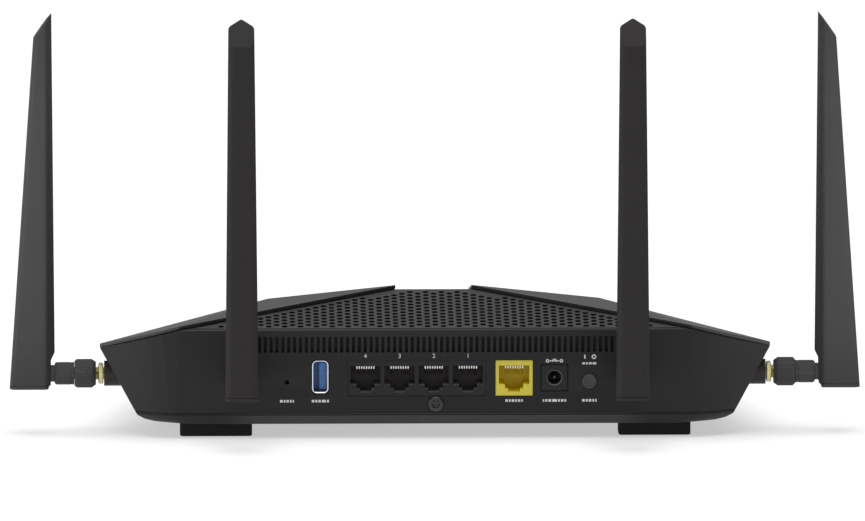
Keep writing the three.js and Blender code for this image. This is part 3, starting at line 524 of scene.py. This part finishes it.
def rim_loop(node, height, tolerance=0.3 * MM):
    """The outer outline of a node at a height, as a convex loop of (x, y)."""
    points = sorted({
        (round(v.co.x, 6), round(v.co.y, 6))
        for v in frame["nodes"][node].data.vertices
        if abs(v.co.z - height) < tolerance
    })

    def chain(ordered):
        kept = []
        for p in ordered:
            while len(kept) > 1 and cross(kept[-2], kept[-1], p) <= 0:
                kept.pop()
            kept.append(p)
        return kept[:-1]

    def cross(a, b, c):
        return (b[0] - a[0]) * (c[1] - a[1]) - (b[1] - a[1]) * (c[0] - a[0])

    return chain(points) + chain(points[::-1])


def make_seam_lip():
    """The cover's lip, just inside the joint between the housing and the bottom cover."""
    seam = rim_height()
    loop = [Vector((x, y, 0)) for x, y in rim_loop("bottom_cover", seam)]
    centre = sum(loop, Vector()) / len(loop)
    inset, thickness, half = 0.45 * MM, 1.0 * MM, 0.9 * MM

    def ring(distance, z):
        moved = []
        for point in loop:
            away = point - centre
            moved.append(centre + away * (1 - distance / away.length) + Vector((0, 0, z)))
        return moved

    rings = [
        ring(inset, seam - half),
        ring(inset, seam + half),
        ring(inset + thickness, seam + half),
        ring(inset + thickness, seam - half),
        ring(inset, seam - half),
    ]
    work = bmesh.new()
    skin(work, rings)
    add_piece("seam_lip", to_mesh("seam_lip", work, smooth=False), DARK_LIP)


def rim_height():
    """The height of the bottom cover's upper rim, where its outline is widest."""
    verts = frame["nodes"]["bottom_cover"].data.vertices
    widest = max(abs(v.co.x) for v in verts)
    return max(v.co.z for v in verts if abs(v.co.x) > widest - 0.5 * MM)


def weigh_long_edges(work, shortest):
    """Marks for rounding the long outer edges, but not those of the openings in the rear wall."""
    layer = work.edges.layers.float.new("bevel_weight_edge")
    for edge in work.edges:
        if not edge.is_convex or edge.calc_length() < shortest * MM:
            continue
        if edge.calc_face_angle(0) < SHARP:
            continue
        on_wall = all(abs(v.co.y - rear_y) < NEAR for v in edge.verts)
        if on_wall and all(v.co.z < rear_top - 1 * MM for v in edge.verts):
            continue
        edge[layer] = 1.0
    return work


LONG_EDGE = 12  # millimetres: a shorter edge of a shell isn't rounded


def make_shell(node, width, material=None):
    work = weigh_long_edges(cad_copy(node, False), LONG_EDGE)
    refined(node, width, work=work, material=material)


def make_shells():
    make_shell("main_housing", 0.3)
    # the bottom cover's finish has painted light on its band and painted shade at its ends
    make_shell("bottom_cover", 0.25, LOWER_SHELL_PAINTED_LIGHT)
    make_seam_lip()
    for side in ("left", "right"):
        make_wing(side)
        for end in ("rear", "front"):
            make_foot(side + "_" + end + "_foot")
            make_case_screw(side + "_" + end + "_screw")


def make_wing(side):
    """A wing cover whose rear edge is undercut, so that it throws a dark line."""
    node = side + "_wing_cover"
    work = cad_copy(node)
    undercut = 0.8 * MM
    drop = 0.2 * MM  # the lower faces are this much lower, to close the gap under the cover
    tip = 3 * MM  # and this much of each tip has no undercut
    lower = {v for f in work.faces if f.normal.z < -0.5 for v in f.verts}
    middle = along(node).y
    reach = max(abs(v.co.x) for v in work.verts)
    for vert in lower:
        vert.co.z -= drop
        if vert.co.y < middle and abs(vert.co.x) < reach - tip:
            vert.co.y += undercut
    refined(node, 0.3, work=work)


FOOT_ROUND = 1.2 * MM
SOLE_BEVEL = 0.4 * MM


def make_foot(node):
    """A rubber foot with rounded corners and a bevelled sole."""
    low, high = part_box(node)
    work = bmesh.new()
    rings = []
    for z, inset in ((high.z, 0), (low.z + SOLE_BEVEL, 0), (low.z, SOLE_BEVEL)):
        outline = rounded_outline(
            low.x + inset, high.x - inset, low.y + inset, high.y - inset, FOOT_ROUND,
        )
        rings.append([Vector((x, y, z)) for x, y in outline])
    loft(work, rings)
    refined(node, 0, work=work)


STAR_POINTS = 6
SHANK = 2.6


def star_screw(node, matrix, head, height, length):
    """A button-head screw with a star recess. The head's face is at 0 and the shank runs to +X."""
    radius = head / 2
    recess = radius * 0.5
    profile = [
        (0.9, 0.0), (0.9, recess * 0.8, 0.16), (0.15, recess, 0.16), (0.02, recess * 1.12, 0.1),
        (0.0, radius * 0.72), (0.12, radius * 0.9), (0.4, radius), (height, radius),
        (height, SHANK / 2), (length - 0.4, SHANK / 2), (length, SHANK / 2 - 0.4), (length, 0.0),
    ]
    work = turned(bmesh.new(), profile, 72, STAR_POINTS)
    placed(node, work, matrix, FINISH["dark_steel"])


def make_case_screw(node):
    origin = along(node)
    origin.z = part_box(node)[0].z
    size = sizes_of(node)
    star_screw(node, axis_frame(origin, (0, 0, 1), (0, 1, 0)), size.x, 1.8, size.z)


def make_rear_screw():
    size = sizes_of("rear_screw")
    star_screw("rear_screw", forwards("rear_screw"), size.x, 1.6, size.y)


# ---------------------------------------------------------------- grilles

HOLE_PITCH = 3.85 * MM
HOLE_FLATS = 2.55 * MM
HOLE_BORDER = 0.7 * MM


def top_face(work):
    return max((f for f in work.faces if f.normal.z > 0.5), key=lambda f: f.calc_area())


def make_grille(node):
    """A plate in the node's shape with a lattice of hexagonal holes, staggered by columns."""
    source = cad_copy(node)
    face = top_face(source)
    normal = face.normal.copy()
    corners = [v.co.copy() for v in face.verts]
    thickness = max(-(v.co - corners[0]).dot(normal) for v in source.verts)
    source.free()
    across = Vector((1, 0, 0))
    slope = normal.cross(across).normalized()
    origin = sum(corners, Vector()) / len(corners)
    origin.x = 0
    flat = [Vector(((c - origin).dot(across), (c - origin).dot(slope))) for c in corners]
    radius = HOLE_FLATS / math.sqrt(3)
    column = HOLE_PITCH * math.sqrt(3) / 2

    def inside(u, v):
        for a, b in zip(flat, flat[1:] + flat[:1]):
            edge = (b - a).normalized()
            if edge.x * (v - a.y) - edge.y * (u - a.x) < HOLE_FLATS / 2 + HOLE_BORDER:
                return False
        return True

    reach_u = max(abs(p.x) for p in flat)
    reach_v = max(abs(p.y) for p in flat)
    points = list(flat)
    outlines = [list(range(len(flat)))]
    columns = int(reach_u / column) + 1
    rows = int(reach_v / HOLE_PITCH) + 1
    for i in range(-columns, columns + 1):
        for j in range(-rows, rows + 1):
            u = i * column
            v = (j + (0.5 if i % 2 else 0.0)) * HOLE_PITCH
            if not inside(u, v):
                continue
            first = len(points)
            for k in range(6):
                angle = math.pi / 3 * k
                points.append(Vector((u + radius * math.cos(angle), v + radius * math.sin(angle))))
            outlines.append(list(range(first, first + 6)))
    verts, _, faces, _, _, sources = delaunay_2d_cdt(points, [], outlines, 1, 1e-9)
    work = bmesh.new()
    made = [work.verts.new(origin + across * p.x + slope * p.y) for p in verts]
    for corner_ids, source_ids in zip(faces, sources):
        if source_ids == [0]:
            work.faces.new([made[i] for i in corner_ids])
    top = list(work.faces)
    grown = bmesh.ops.extrude_face_region(work, geom=top)
    moved = [g for g in grown["geom"] if isinstance(g, bmesh.types.BMVert)]
    bmesh.ops.translate(work, vec=-normal * thickness, verts=moved)
    mesh = to_mesh(node + "_shape", work, smooth=False)
    add_piece(mesh.name, mesh, FINISH["grille"], home[node], [node])


# ---------------------------------------------------------------- port side

FILL = 0.18 * MM  # how far a socket block grows on each side, to fill its opening
PORTS = 4


def port_places():
    """Each network port's number, which falls from left to right, and its middle along X."""
    low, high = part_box("lan_jack_block")
    pitch = (high.x - low.x) / PORTS
    return [(PORTS - i, low.x + pitch * (i + 0.5)) for i in range(PORTS)]


def make_jack(node, inside):
    """A socket block that almost fills its opening, with painted light in its cavities: a lighter
    material there.
    """
    low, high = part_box(node)
    work = cad_copy(node, False)
    for vert in work.verts:
        for axis in (0, 2):
            if vert.co[axis] < low[axis] + NEAR:
                vert.co[axis] -= FILL
            elif vert.co[axis] > high[axis] - NEAR:
                vert.co[axis] += FILL
    line_inside(refined(node, 0, work=work), low, high, inside)


def line_inside(piece, low, high, material):
    """Gives the cavities of a socket block, which open at its rear face, a lighter material of their
    own: painted light in place of the shade inside them.
    """
    piece.data.materials.append(material)
    edge = 0.3 * MM
    for polygon in piece.data.polygons:
        centre = polygon.center
        outer = any(
            centre[axis] < low[axis] + edge or centre[axis] > high[axis] - edge for axis in (0, 2)
        )
        at_face = centre.y < low.y + NEAR
        polygon.material_index = 0 if outer or at_face else 1


def make_sockets():
    # the cavities get lighter materials: painted light in place of the shade inside them
    make_jack("lan_jack_block", JACK_CAVITY_PAINTED_LIGHT)
    make_jack("wan_jack", YELLOW_CAVITY_PAINTED_LIGHT)
    make_baffle()
    for number, x in port_places():
        make_contacts("lan_contacts_%d" % number, x, "lan_jack_block")
    make_contacts("wan_contacts", along("wan_jack").x, "wan_jack")
    make_usb()
    make_power_socket()
    make_power_button()
    refined("power_switch_body", 0.3)
    refined("reset_switch_body", 0.3)
    make_reset_plunger()
    make_rear_screw()


def make_baffle():
    """A dark sheet behind the slots of the rear wall: painted shade, standing in for the dark inside of
    the housing seen through them.
    """
    half = 76 * MM
    jack_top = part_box("lan_jack_block")[1].z
    low = Vector((-half, rear_y + 2.8 * MM, jack_top + 1.6 * MM))
    high = Vector((half, rear_y + 3.4 * MM, rear_top - 2.2 * MM))
    mesh = to_mesh("vent_painted_shade_sheet", block(bmesh.new(), low, high))
    add_piece(mesh.name, mesh, VENT_SHADE_SHEET)


CONTACT_COUNT = 8
CONTACT_PITCH = 1.02 * MM
CONTACT_WIDTH = 0.5 * MM


def make_contacts(name, x, node):
    """Eight spring contacts, from the top of a network socket's mouth back and down inside it."""
    low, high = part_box(node)
    roof = high.z - 2.0 * MM
    front = low.y
    route = [(1.0, -0.1), (0.6, -0.25), (0.55, -1.25), (1.1, -1.7), (9.5, -5.2), (10.0, -5.0)]
    thickness = 0.3 * MM
    work = bmesh.new()
    for i in range(CONTACT_COUNT):
        centre = x + (i - (CONTACT_COUNT - 1) / 2) * CONTACT_PITCH
        rings = []
        for y, z in route:
            at = Vector((centre, front + y * MM, roof + z * MM))
            half = CONTACT_WIDTH / 2
            rings.append([
                at + Vector((-half, 0, 0)), at + Vector((half, 0, 0)),
                at + Vector((half, thickness, thickness)), at + Vector((-half, thickness, thickness)),
            ])
        loft(work, rings)
    mesh = to_mesh(name, work, smooth=False)
    add_piece(name, mesh, CONTACT)


def socket(work, outer, inner, front, back, floor, edge):
    """A block with one recess, from (x, z) outlines with equally many points and places along Y."""
    def ring(outline, y):
        return [Vector((x, y, z)) for x, z in outline]

    def shrunk(outline, distance):
        cx = sum(p[0] for p in outline) / len(outline)
        cz = sum(p[1] for p in outline) / len(outline)
        moved = []
        for x, z in outline:
            away = math.hypot(x - cx, z - cz)
            moved.append((x - (x - cx) * distance / away, z - (z - cz) * distance / away))
        return moved

    return loft(work, [
        ring(outer, back),
        ring(outer, front + edge),
        ring(shrunk(outer, edge), front),
        ring(shrunk(inner, -edge), front),
        ring(inner, front + edge),
        ring(inner, floor),
    ])


def make_usb():
    low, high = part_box("usb_shell")
    wall = 0.62 * MM
    outer = rounded_outline(low.x, high.x, low.z, high.z, 2.0 * MM)
    inner = rounded_outline(low.x + wall, high.x - wall, low.z + wall, high.z - wall, 1.4 * MM)
    work = socket(bmesh.new(), outer, inner, low.y, high.y, high.y - wall, 0.18 * MM)
    refined("usb_shell", 0, work=work)
    low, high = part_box("usb_tongue")
    shell_low, shell_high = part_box("usb_shell")
    low.x -= 0.9 * MM
    high.x += 0.1 * MM
    refined("usb_tongue", 0, work=block(bmesh.new(), low, high, 0.4), material=BRIGHT_BLUE)
    back = Vector((low.x - 0.25 * MM, shell_high.y - 1 * MM, high.z + 0.5 * MM))
    front = Vector((shell_low.x + 0.7 * MM, low.y + 2.5 * MM, low.z - 0.5 * MM))
    lining = to_mesh("usb_lining", block(bmesh.new(), front, back))
    add_piece("usb_lining", lining, FINISH["usb_blue"])
    pads = bmesh.new()
    count, pitch = 4, 2.2 * MM
    middle = (low.z + high.z) / 2
    for i in range(count):
        z = middle + (i - (count - 1) / 2) * pitch
        a = Vector((low.x - 0.06 * MM, low.y + 0.4 * MM, z - 0.5 * MM))
        b = Vector((low.x + 0.1 * MM, high.y - 0.4 * MM, z + 0.5 * MM))
        block(pads, a, b, 0.1)
    add_piece("usb_contacts", to_mesh("usb_contacts", pads), CONTACT)


def make_power_socket():
    """The inlet, with a round recess in a block with rounded corners, and its pin."""
    low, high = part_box("dc_jack")
    centre = along("dc_jack_pin")
    bore = 3.0 * MM
    steps = 11
    outer = rounded_outline(
        low.x - FILL, high.x + FILL, low.z - FILL, high.z + FILL, 0.8 * MM, steps,
    )
    inner = []
    for i in range(len(outer)):
        angle = math.pi / 2 * (i // (steps + 1) + i % (steps + 1) / steps)
        inner.append((centre.x + bore * math.cos(angle), centre.z + bore * math.sin(angle)))
    work = socket(bmesh.new(), outer, inner, low.y, high.y, low.y + 10 * MM, 0.3 * MM)
    # painted light in the inlet's recess
    line_inside(refined("dc_jack", 0, work=work), low, high, JACK_CAVITY_PAINTED_LIGHT)
    size = sizes_of("dc_jack_pin")
    length = size.y
    radius = size.x / 2
    profile = [
        (0, 0), (0, radius * 0.55), (0.3, radius * 0.85), (0.8, radius), (length, radius),
        (length, 0),
    ]
    work = turned(bmesh.new(), profile, 32)
    placed("dc_jack_pin", work, forwards("dc_jack_pin"), FINISH["dark_steel"])


def make_power_button():
    """A round button with a softly dished face and a collar behind the wall."""
    size = sizes_of("power_button")
    face = 3.12
    collar = size.x / 2
    behind = 4.0
    length = size.y
    profile = [
        (0.3, 0), (0.22, face * 0.45), (0.05, face * 0.72), (0.0, face * 0.8), (0.12, face * 0.93),
        (0.5, face), (behind, face), (behind, collar), (behind + 1.5, collar), (behind + 1.5, face),
        (length, face), (length, 0),
    ]
    placed("power_button", turned(bmesh.new(), profile, 64), forwards("power_button"), BUTTON)


def make_reset_plunger():
    size = sizes_of("reset_plunger")
    radius = size.x / 2
    length = size.y
    profile = [(0, 0), (0, radius * 0.7), (0.25, radius), (length, radius), (length, 0)]
    placed("reset_plunger", turned(bmesh.new(), profile, 40), forwards("reset_plunger"))


# ---------------------------------------------------------------- printed marks

PRINT_HEIGHT = 0.05 * MM
LABEL_Z = 16.0 * MM
NUMBER_Z = 35.0 * MM


def add_mark(name, rectangles):
    """Flat printed shapes on the rear face, each one (x0, x1, z0, z1) in metres."""
    work = bmesh.new()
    for x0, x1, z0, z1 in rectangles:
        corners = [(x0, z0), (x1, z0), (x1, z1), (x0, z1)]
        loft(work, [
            [Vector((x, rear_y - PRINT_HEIGHT, z)) for x, z in corners],
            [Vector((x, rear_y + PRINT_HEIGHT, z)) for x, z in corners],
        ])
    add_piece(name, to_mesh(name, work, smooth=False), PRINT)


def dashes(x, z, widths, height, space):
    """A centred row of blocks of the given widths, in millimetres."""
    total = sum(widths) + space * (len(widths) - 1)
    left = x - total / 2 * MM
    row = []
    for width in widths:
        row.append((left, left + width * MM, z - height / 2 * MM, z + height / 2 * MM))
        left += (width + space) * MM
    return row


def ring_mark(name, x, z, radius, line, arc=360):
    """A printed ring, or an arc of one that is open below. Radius and line are in millimetres."""
    work = bmesh.new()
    steps = 28
    rings = []
    for r, y in ((radius, -1), (radius, 1), (radius - line, 1), (radius - line, -1)):
        ring = []
        for i in range(steps + 1):
            angle = math.radians(90 + arc / 2 - arc * i / steps)
            reach = r * MM
            ring.append(Vector((
                x + reach * math.cos(angle), rear_y + y * PRINT_HEIGHT, z + reach * math.sin(angle),
            )))
        rings.append(ring)
    made = skin(work, rings + rings[:1], around=False)
    if arc < 360:
        for i in (0, steps):
            work.faces.new([ring[i] for ring in made[:-1]])
    add_piece(name, to_mesh(name, work, smooth=False), PRINT)


def add_digit(text, x, z, size):
    curve = bpy.data.curves.new("digit_" + text, "FONT")
    curve.body = text
    curve.size = size * MM
    curve.align_x = "CENTER"
    curve.align_y = "CENTER"
    curve.extrude = PRINT_HEIGHT
    curve.resolution_u = 4
    holder = bpy.data.objects.new("digit", curve)
    scene.collection.objects.link(holder)
    bpy.context.view_layer.update()
    graph = bpy.context.evaluated_depsgraph_get()
    mesh = bpy.data.meshes.new_from_object(holder.evaluated_get(graph))
    bpy.data.objects.remove(holder)
    mesh.transform(Matrix.Translation((x, rear_y, z)) @ Matrix.Rotation(math.pi / 2, 4, "X"))
    mesh.name = "port_number_" + text
    add_piece(mesh.name, mesh, PRINT)


def make_marks():
    """A number over each network port, bars in place of words, and plain pictograms."""
    for number, x in port_places():
        add_digit(str(number), x, NUMBER_Z, 2.6)
    labels = {
        "reset_mark": (along("reset_plunger").x, (1.2, 0.7, 0.9, 0.7, 0.6)),
        "usb_mark": (along("usb_shell").x, (1.1, 0.8, 1.0, 1.7, 0.8)),
        "wan_mark": (along("wan_jack").x, (1.0, 0.7, 1.1, 0.7, 0.9, 0.6)),
        "supply_mark": (along("dc_jack").x, (0.5, 0.9, 1.2, 2.0, 0.8, 1.0, 0.7)),
        "power_mark": (along("power_button").x, (1.1, 0.8, 1.1, 0.7, 0.6)),
    }
    for name, (x, widths) in labels.items():
        add_mark(name, dashes(x, LABEL_Z, widths, 1.1, 0.45))
    x = along("dc_jack").x
    z = NUMBER_Z - 2.2 * MM
    for side, end in ((-1, "left"), (1, "right")):
        ring_mark("polarity_ring_" + end, x + side * 2.9 * MM, z, 0.75, 0.4)
    ring_mark("polarity_cup", x, z, 0.95, 0.4, 250)
    add_mark("polarity_line", dashes(x, z, (1.0, 0.9, 1.0), 0.4, 0.55))
    x = along("power_button").x
    z = NUMBER_Z - 0.5 * MM
    add_mark("on_mark", dashes(x - 1.9 * MM, z, (0.6,), 1.7, 0.4))
    ring_mark("off_mark", x + 1.9 * MM, z, 1.0, 0.5)
    add_mark("standby_bar", dashes(x, z - 2.8 * MM, (1.1, 0.8, 1.2, 1.6), 0.9, 0.4))


# ---------------------------------------------------------------- light strip

def make_light_strip():
    refined("led_bezel", 0.25)
    refined("light_pipe", 0.1)
    for node in ("wifi_button", "wps_button"):
        refined(node, 0.5)


# ---------------------------------------------------------------- board and cooling

def make_inside():
    refined("main_board", 0.15)
    for node in ("cpu_shield", "left_radio_shield", "right_radio_shield"):
        refined(node, 0.4)
    refined("thermal_pad", 0.25)
    refined("heat_sink", 0.2)
    make_chips()
    for name in ANTENNAS:
        refined(name + "_lead", 0, angle=60)


def make_chips():
    """Memory, port magnetics and small capacitors on the board, clear of the shields."""
    low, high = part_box("main_board")
    top = high.z
    work = bmesh.new()
    # middle along X, distance from the board's rear edge, width, depth and height
    chips = [
        (-40, 26, 12, 8, 1.2), (-40, 44, 10, 14, 1.1), (40, 44, 9, 13, 1.1), (34, 26, 14, 9, 2.2),
        (58, 22, 10, 10, 3.0), (-20, 24, 16, 9, 2.2), (2, 24, 16, 9, 2.2), (-30, 104, 12, 12, 1.4),
        (26, 110, 8, 8, 1.2), (0, 116, 18, 8, 1.5),
    ]
    for x, y, width, depth, height in chips:
        a = Vector((x - width / 2, 0, 0)) * MM + Vector((0, low.y + (y - depth / 2) * MM, top))
        b = a + Vector((width, depth, height)) * MM
        block(work, a, b, 0.3)
    for row in range(3):
        for i in range(14):
            x = (-65 + i * 9.6) * MM
            y = low.y + (14 + row * 44) * MM
            block(work, Vector((x, y, top)), Vector((x + 1.6 * MM, y + 0.9 * MM, top + 0.7 * MM)), 0.1)
    soften(add_piece("board_chips", to_mesh("board_chips", work), CHIP), 0)


# ---------------------------------------------------------------- antennas

NUT_RIDGES = 30
THREAD_PITCH = 0.7


def local_span(node, matrix):
    """The node's box in an antenna's own frame, as lowest and highest corner in millimetres."""
    low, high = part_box(node)
    inverse = matrix.inverted()
    corners = [
        inverse @ Vector((x, y, z)) / MM
        for x in (low.x, high.x) for y in (low.y, high.y) for z in (low.z, high.z)
    ]
    return [Vector(pick(c[axis] for c in corners) for axis in range(3)) for pick in (min, max)]


OUTWARDS = {
    "rear_left": (0, -1, 0), "rear_right": (0, -1, 0), "side_left": (-1, 0, 0), "side_right": (1, 0, 0),
}


def make_antenna(name):
    """One antenna. Its own frame is at the hinge pin, with X pointing away from the router."""
    out = OUTWARDS[name]
    matrix = axis_frame(along(name + "_hinge_pin"), out)
    # the side blades get the lighter copy, whose colour is painted light
    material = ANTENNA_PAINTED_LIT if name.startswith("side") else FINISH["antenna"]
    make_nut(name, matrix)
    make_connector(name, matrix)
    make_barrel(name, matrix)
    make_hinge_pin(name, matrix)
    make_blade(name, material)


def make_nut(name, matrix):
    """A ridged coupling nut with a long chamfer at the router's end."""
    node = name + "_nut"
    low, high = local_span(node, matrix)
    start, end = low.x, high.x
    radius = high.z
    ripple = 0.016
    crest = radius / (1 + ripple)
    bore, throat, roof = 3.5, 2.9, 1.5
    profile = [
        (start, bore), (start, radius - 1.3), (start + 0.15, radius - 1.1),
        (start + 1.3, radius - 0.35), (start + 1.7, crest, ripple), (end - 0.9, crest, ripple),
        (end - 0.5, radius - 0.4), (end, radius - 0.8), (end, throat), (end - roof, throat),
        (end - roof, bore), (start, bore),
    ]
    rings = NUT_RIDGES * 6
    work = turned(bmesh.new(), profile, rings, NUT_RIDGES)
    ends = [f for f in work.faces if len(f.verts) > 4]
    bmesh.ops.delete(work, geom=ends, context="FACES_ONLY")
    # in the lighter antenna finish, whose colour is painted light
    placed(node, work, matrix, material=ANTENNA_PAINTED_LIT)


def make_connector(name, matrix):
    """A plated connector: a tail inside the wall, a hexagon and a fine thread."""
    node = name + "_connector"
    low, high = local_span(node, matrix)
    start, end = low.x, high.x
    hex_radius = max(high.y, high.z)
    hex_start = end - 8.3
    hex_end = hex_start + 2.1
    core, crest, tail = 2.35, 2.8, 2.5
    work = bmesh.new()
    tail_end = hex_start + 0.2
    profile = [(start, 0), (start, tail - 0.3), (start + 0.3, tail), (tail_end, tail), (tail_end, 0)]
    turned(work, profile, 40)
    hexagon = [
        (hex_start, 0), (hex_start, hex_radius * 0.84), (hex_start + 0.3, hex_radius),
        (hex_end - 0.3, hex_radius), (hex_end, hex_radius * 0.84), (hex_end, 0),
    ]
    turned(work, hexagon, 6)
    rings = []
    sides = 36
    steps = int((end - hex_end) / THREAD_PITCH * 6)
    for k in range(steps + 1):
        s = hex_end + (end - hex_end) * k / steps
        fade = min(1.0, (steps - k) / 4)
        ring = []
        for i in range(sides):
            angle = 2 * math.pi * i / sides
            phase = ((s - hex_end) / THREAD_PITCH - i / sides) % 1.0
            radius = core + (crest - core) * fade * (1 - abs(2 * phase - 1))
            ring.append(Vector((s, radius * math.cos(angle), radius * math.sin(angle))) * MM)
        rings.append(ring)
    loft(work, rings)
    placed(node, work, matrix)


def make_barrel(name, matrix):
    """The swivelling barrel behind the nut, with the tongue that the blade folds on.
    The tongue is solid: the hinge pin has no bore in it."""
    node = name + "_barrel"
    low, high = local_span(node, matrix)
    tongue_end = high.x
    start, spigot_end, end = low.x, low.x + 1.6, -7.5
    shoulder = local_span(name + "_nut", matrix)[1].x + 0.1
    radius = 4.75
    profile = [
        (start, 0), (start, 2.9), (start + 0.3, 3.2), (spigot_end, 3.2), (spigot_end, 2.6),
        (shoulder, 2.6), (shoulder, radius - 0.12), (shoulder + 0.12, radius),
        (shoulder + 0.9, radius), (shoulder + 1.05, radius - 0.15), (shoulder + 1.35, radius - 0.15),
        (shoulder + 1.5, radius), (end - 0.9, radius), (end - 0.25, radius - 0.35),
        (end, radius - 0.9), (end, 0),
    ]
    work = turned(bmesh.new(), profile, 64)
    half = 3.1
    tongue = tongue_end - 0.35
    rings = []
    for y, inset in ((-half, 0.3), (-half + 0.3, 0), (half - 0.3, 0), (half, 0.3)):
        ring = [(end - 0.5, tongue - inset), (end - 0.5, -tongue + inset)]
        steps = 20
        for i in range(steps + 1):
            angle = math.pi * i / steps
            ring.append(((tongue - inset) * math.sin(angle), -(tongue - inset) * math.cos(angle)))
        rings.append([Vector((x, y, z)) * MM for x, z in ring])
    loft(work, rings)
    # in the lighter antenna finish, whose colour is painted light
    placed(node, work, matrix, material=ANTENNA_PAINTED_LIT)


def make_hinge_pin(name, matrix):
    node = name + "_hinge_pin"
    high = local_span(node, matrix)[1]
    radius = high.x
    half = high.y
    profile = [
        (-half, 0), (-half, radius - 0.2), (-half + 0.2, radius), (half - 0.2, radius),
        (half, radius - 0.2), (half, 0),
    ]
    work = turned(bmesh.new(), profile, 32)
    across = Matrix.Rotation(math.pi / 2, 3, "Z")
    bmesh.ops.rotate(work, cent=(0, 0, 0), matrix=across, verts=work.verts)
    placed(node, work, matrix)


BLADE_ROUND = 0.8 * MM
BLADE_EDGE = 20 * MM  # the blade's long edges are longer than this
GROOVE_UP = 1.5 * MM
GROOVE_HALF = 0.16 * MM
GROOVE_DEPTH = 0.3 * MM


def make_blade(name, material):
    """The blade, with rounded long edges and a fine seam just above its lower end."""
    node = name + "_blade"
    work = cad_copy(node)
    long_edges = [
        e for e in work.edges
        if e.calc_length() > BLADE_EDGE and e.calc_face_angle(0) > SHARP
    ]
    bmesh.ops.bevel(
        work, geom=long_edges, offset=BLADE_ROUND, segments=4, profile=0.5,
        affect="EDGES", clamp_overlap=True,
    )
    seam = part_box(node)[0].z + GROOVE_UP
    for z in (seam - GROOVE_HALF, seam, seam + GROOVE_HALF):
        geometry = list(work.verts) + list(work.edges) + list(work.faces)
        bmesh.ops.bisect_plane(
            work, geom=geometry, plane_co=(0, 0, z), plane_no=(0, 0, 1), dist=1e-7,
        )
    centre = along(name + "_hinge_pin")
    for vert in work.verts:
        if abs(vert.co.z - seam) < 1e-6:
            away = Vector((vert.co.x - centre.x, vert.co.y - centre.y, 0))
            if away.length > GROOVE_DEPTH:
                vert.co -= away.normalized() * GROOVE_DEPTH
    refined(node, 0, work=work, material=material)


# ---------------------------------------------------------------- making

make_camera()
make_studio()
make_shells()
make_grille("rear_grille")
make_grille("front_grille")
make_sockets()
make_marks()
make_light_strip()
make_inside()
for antenna in ANTENNAS:
    make_antenna(antenna)
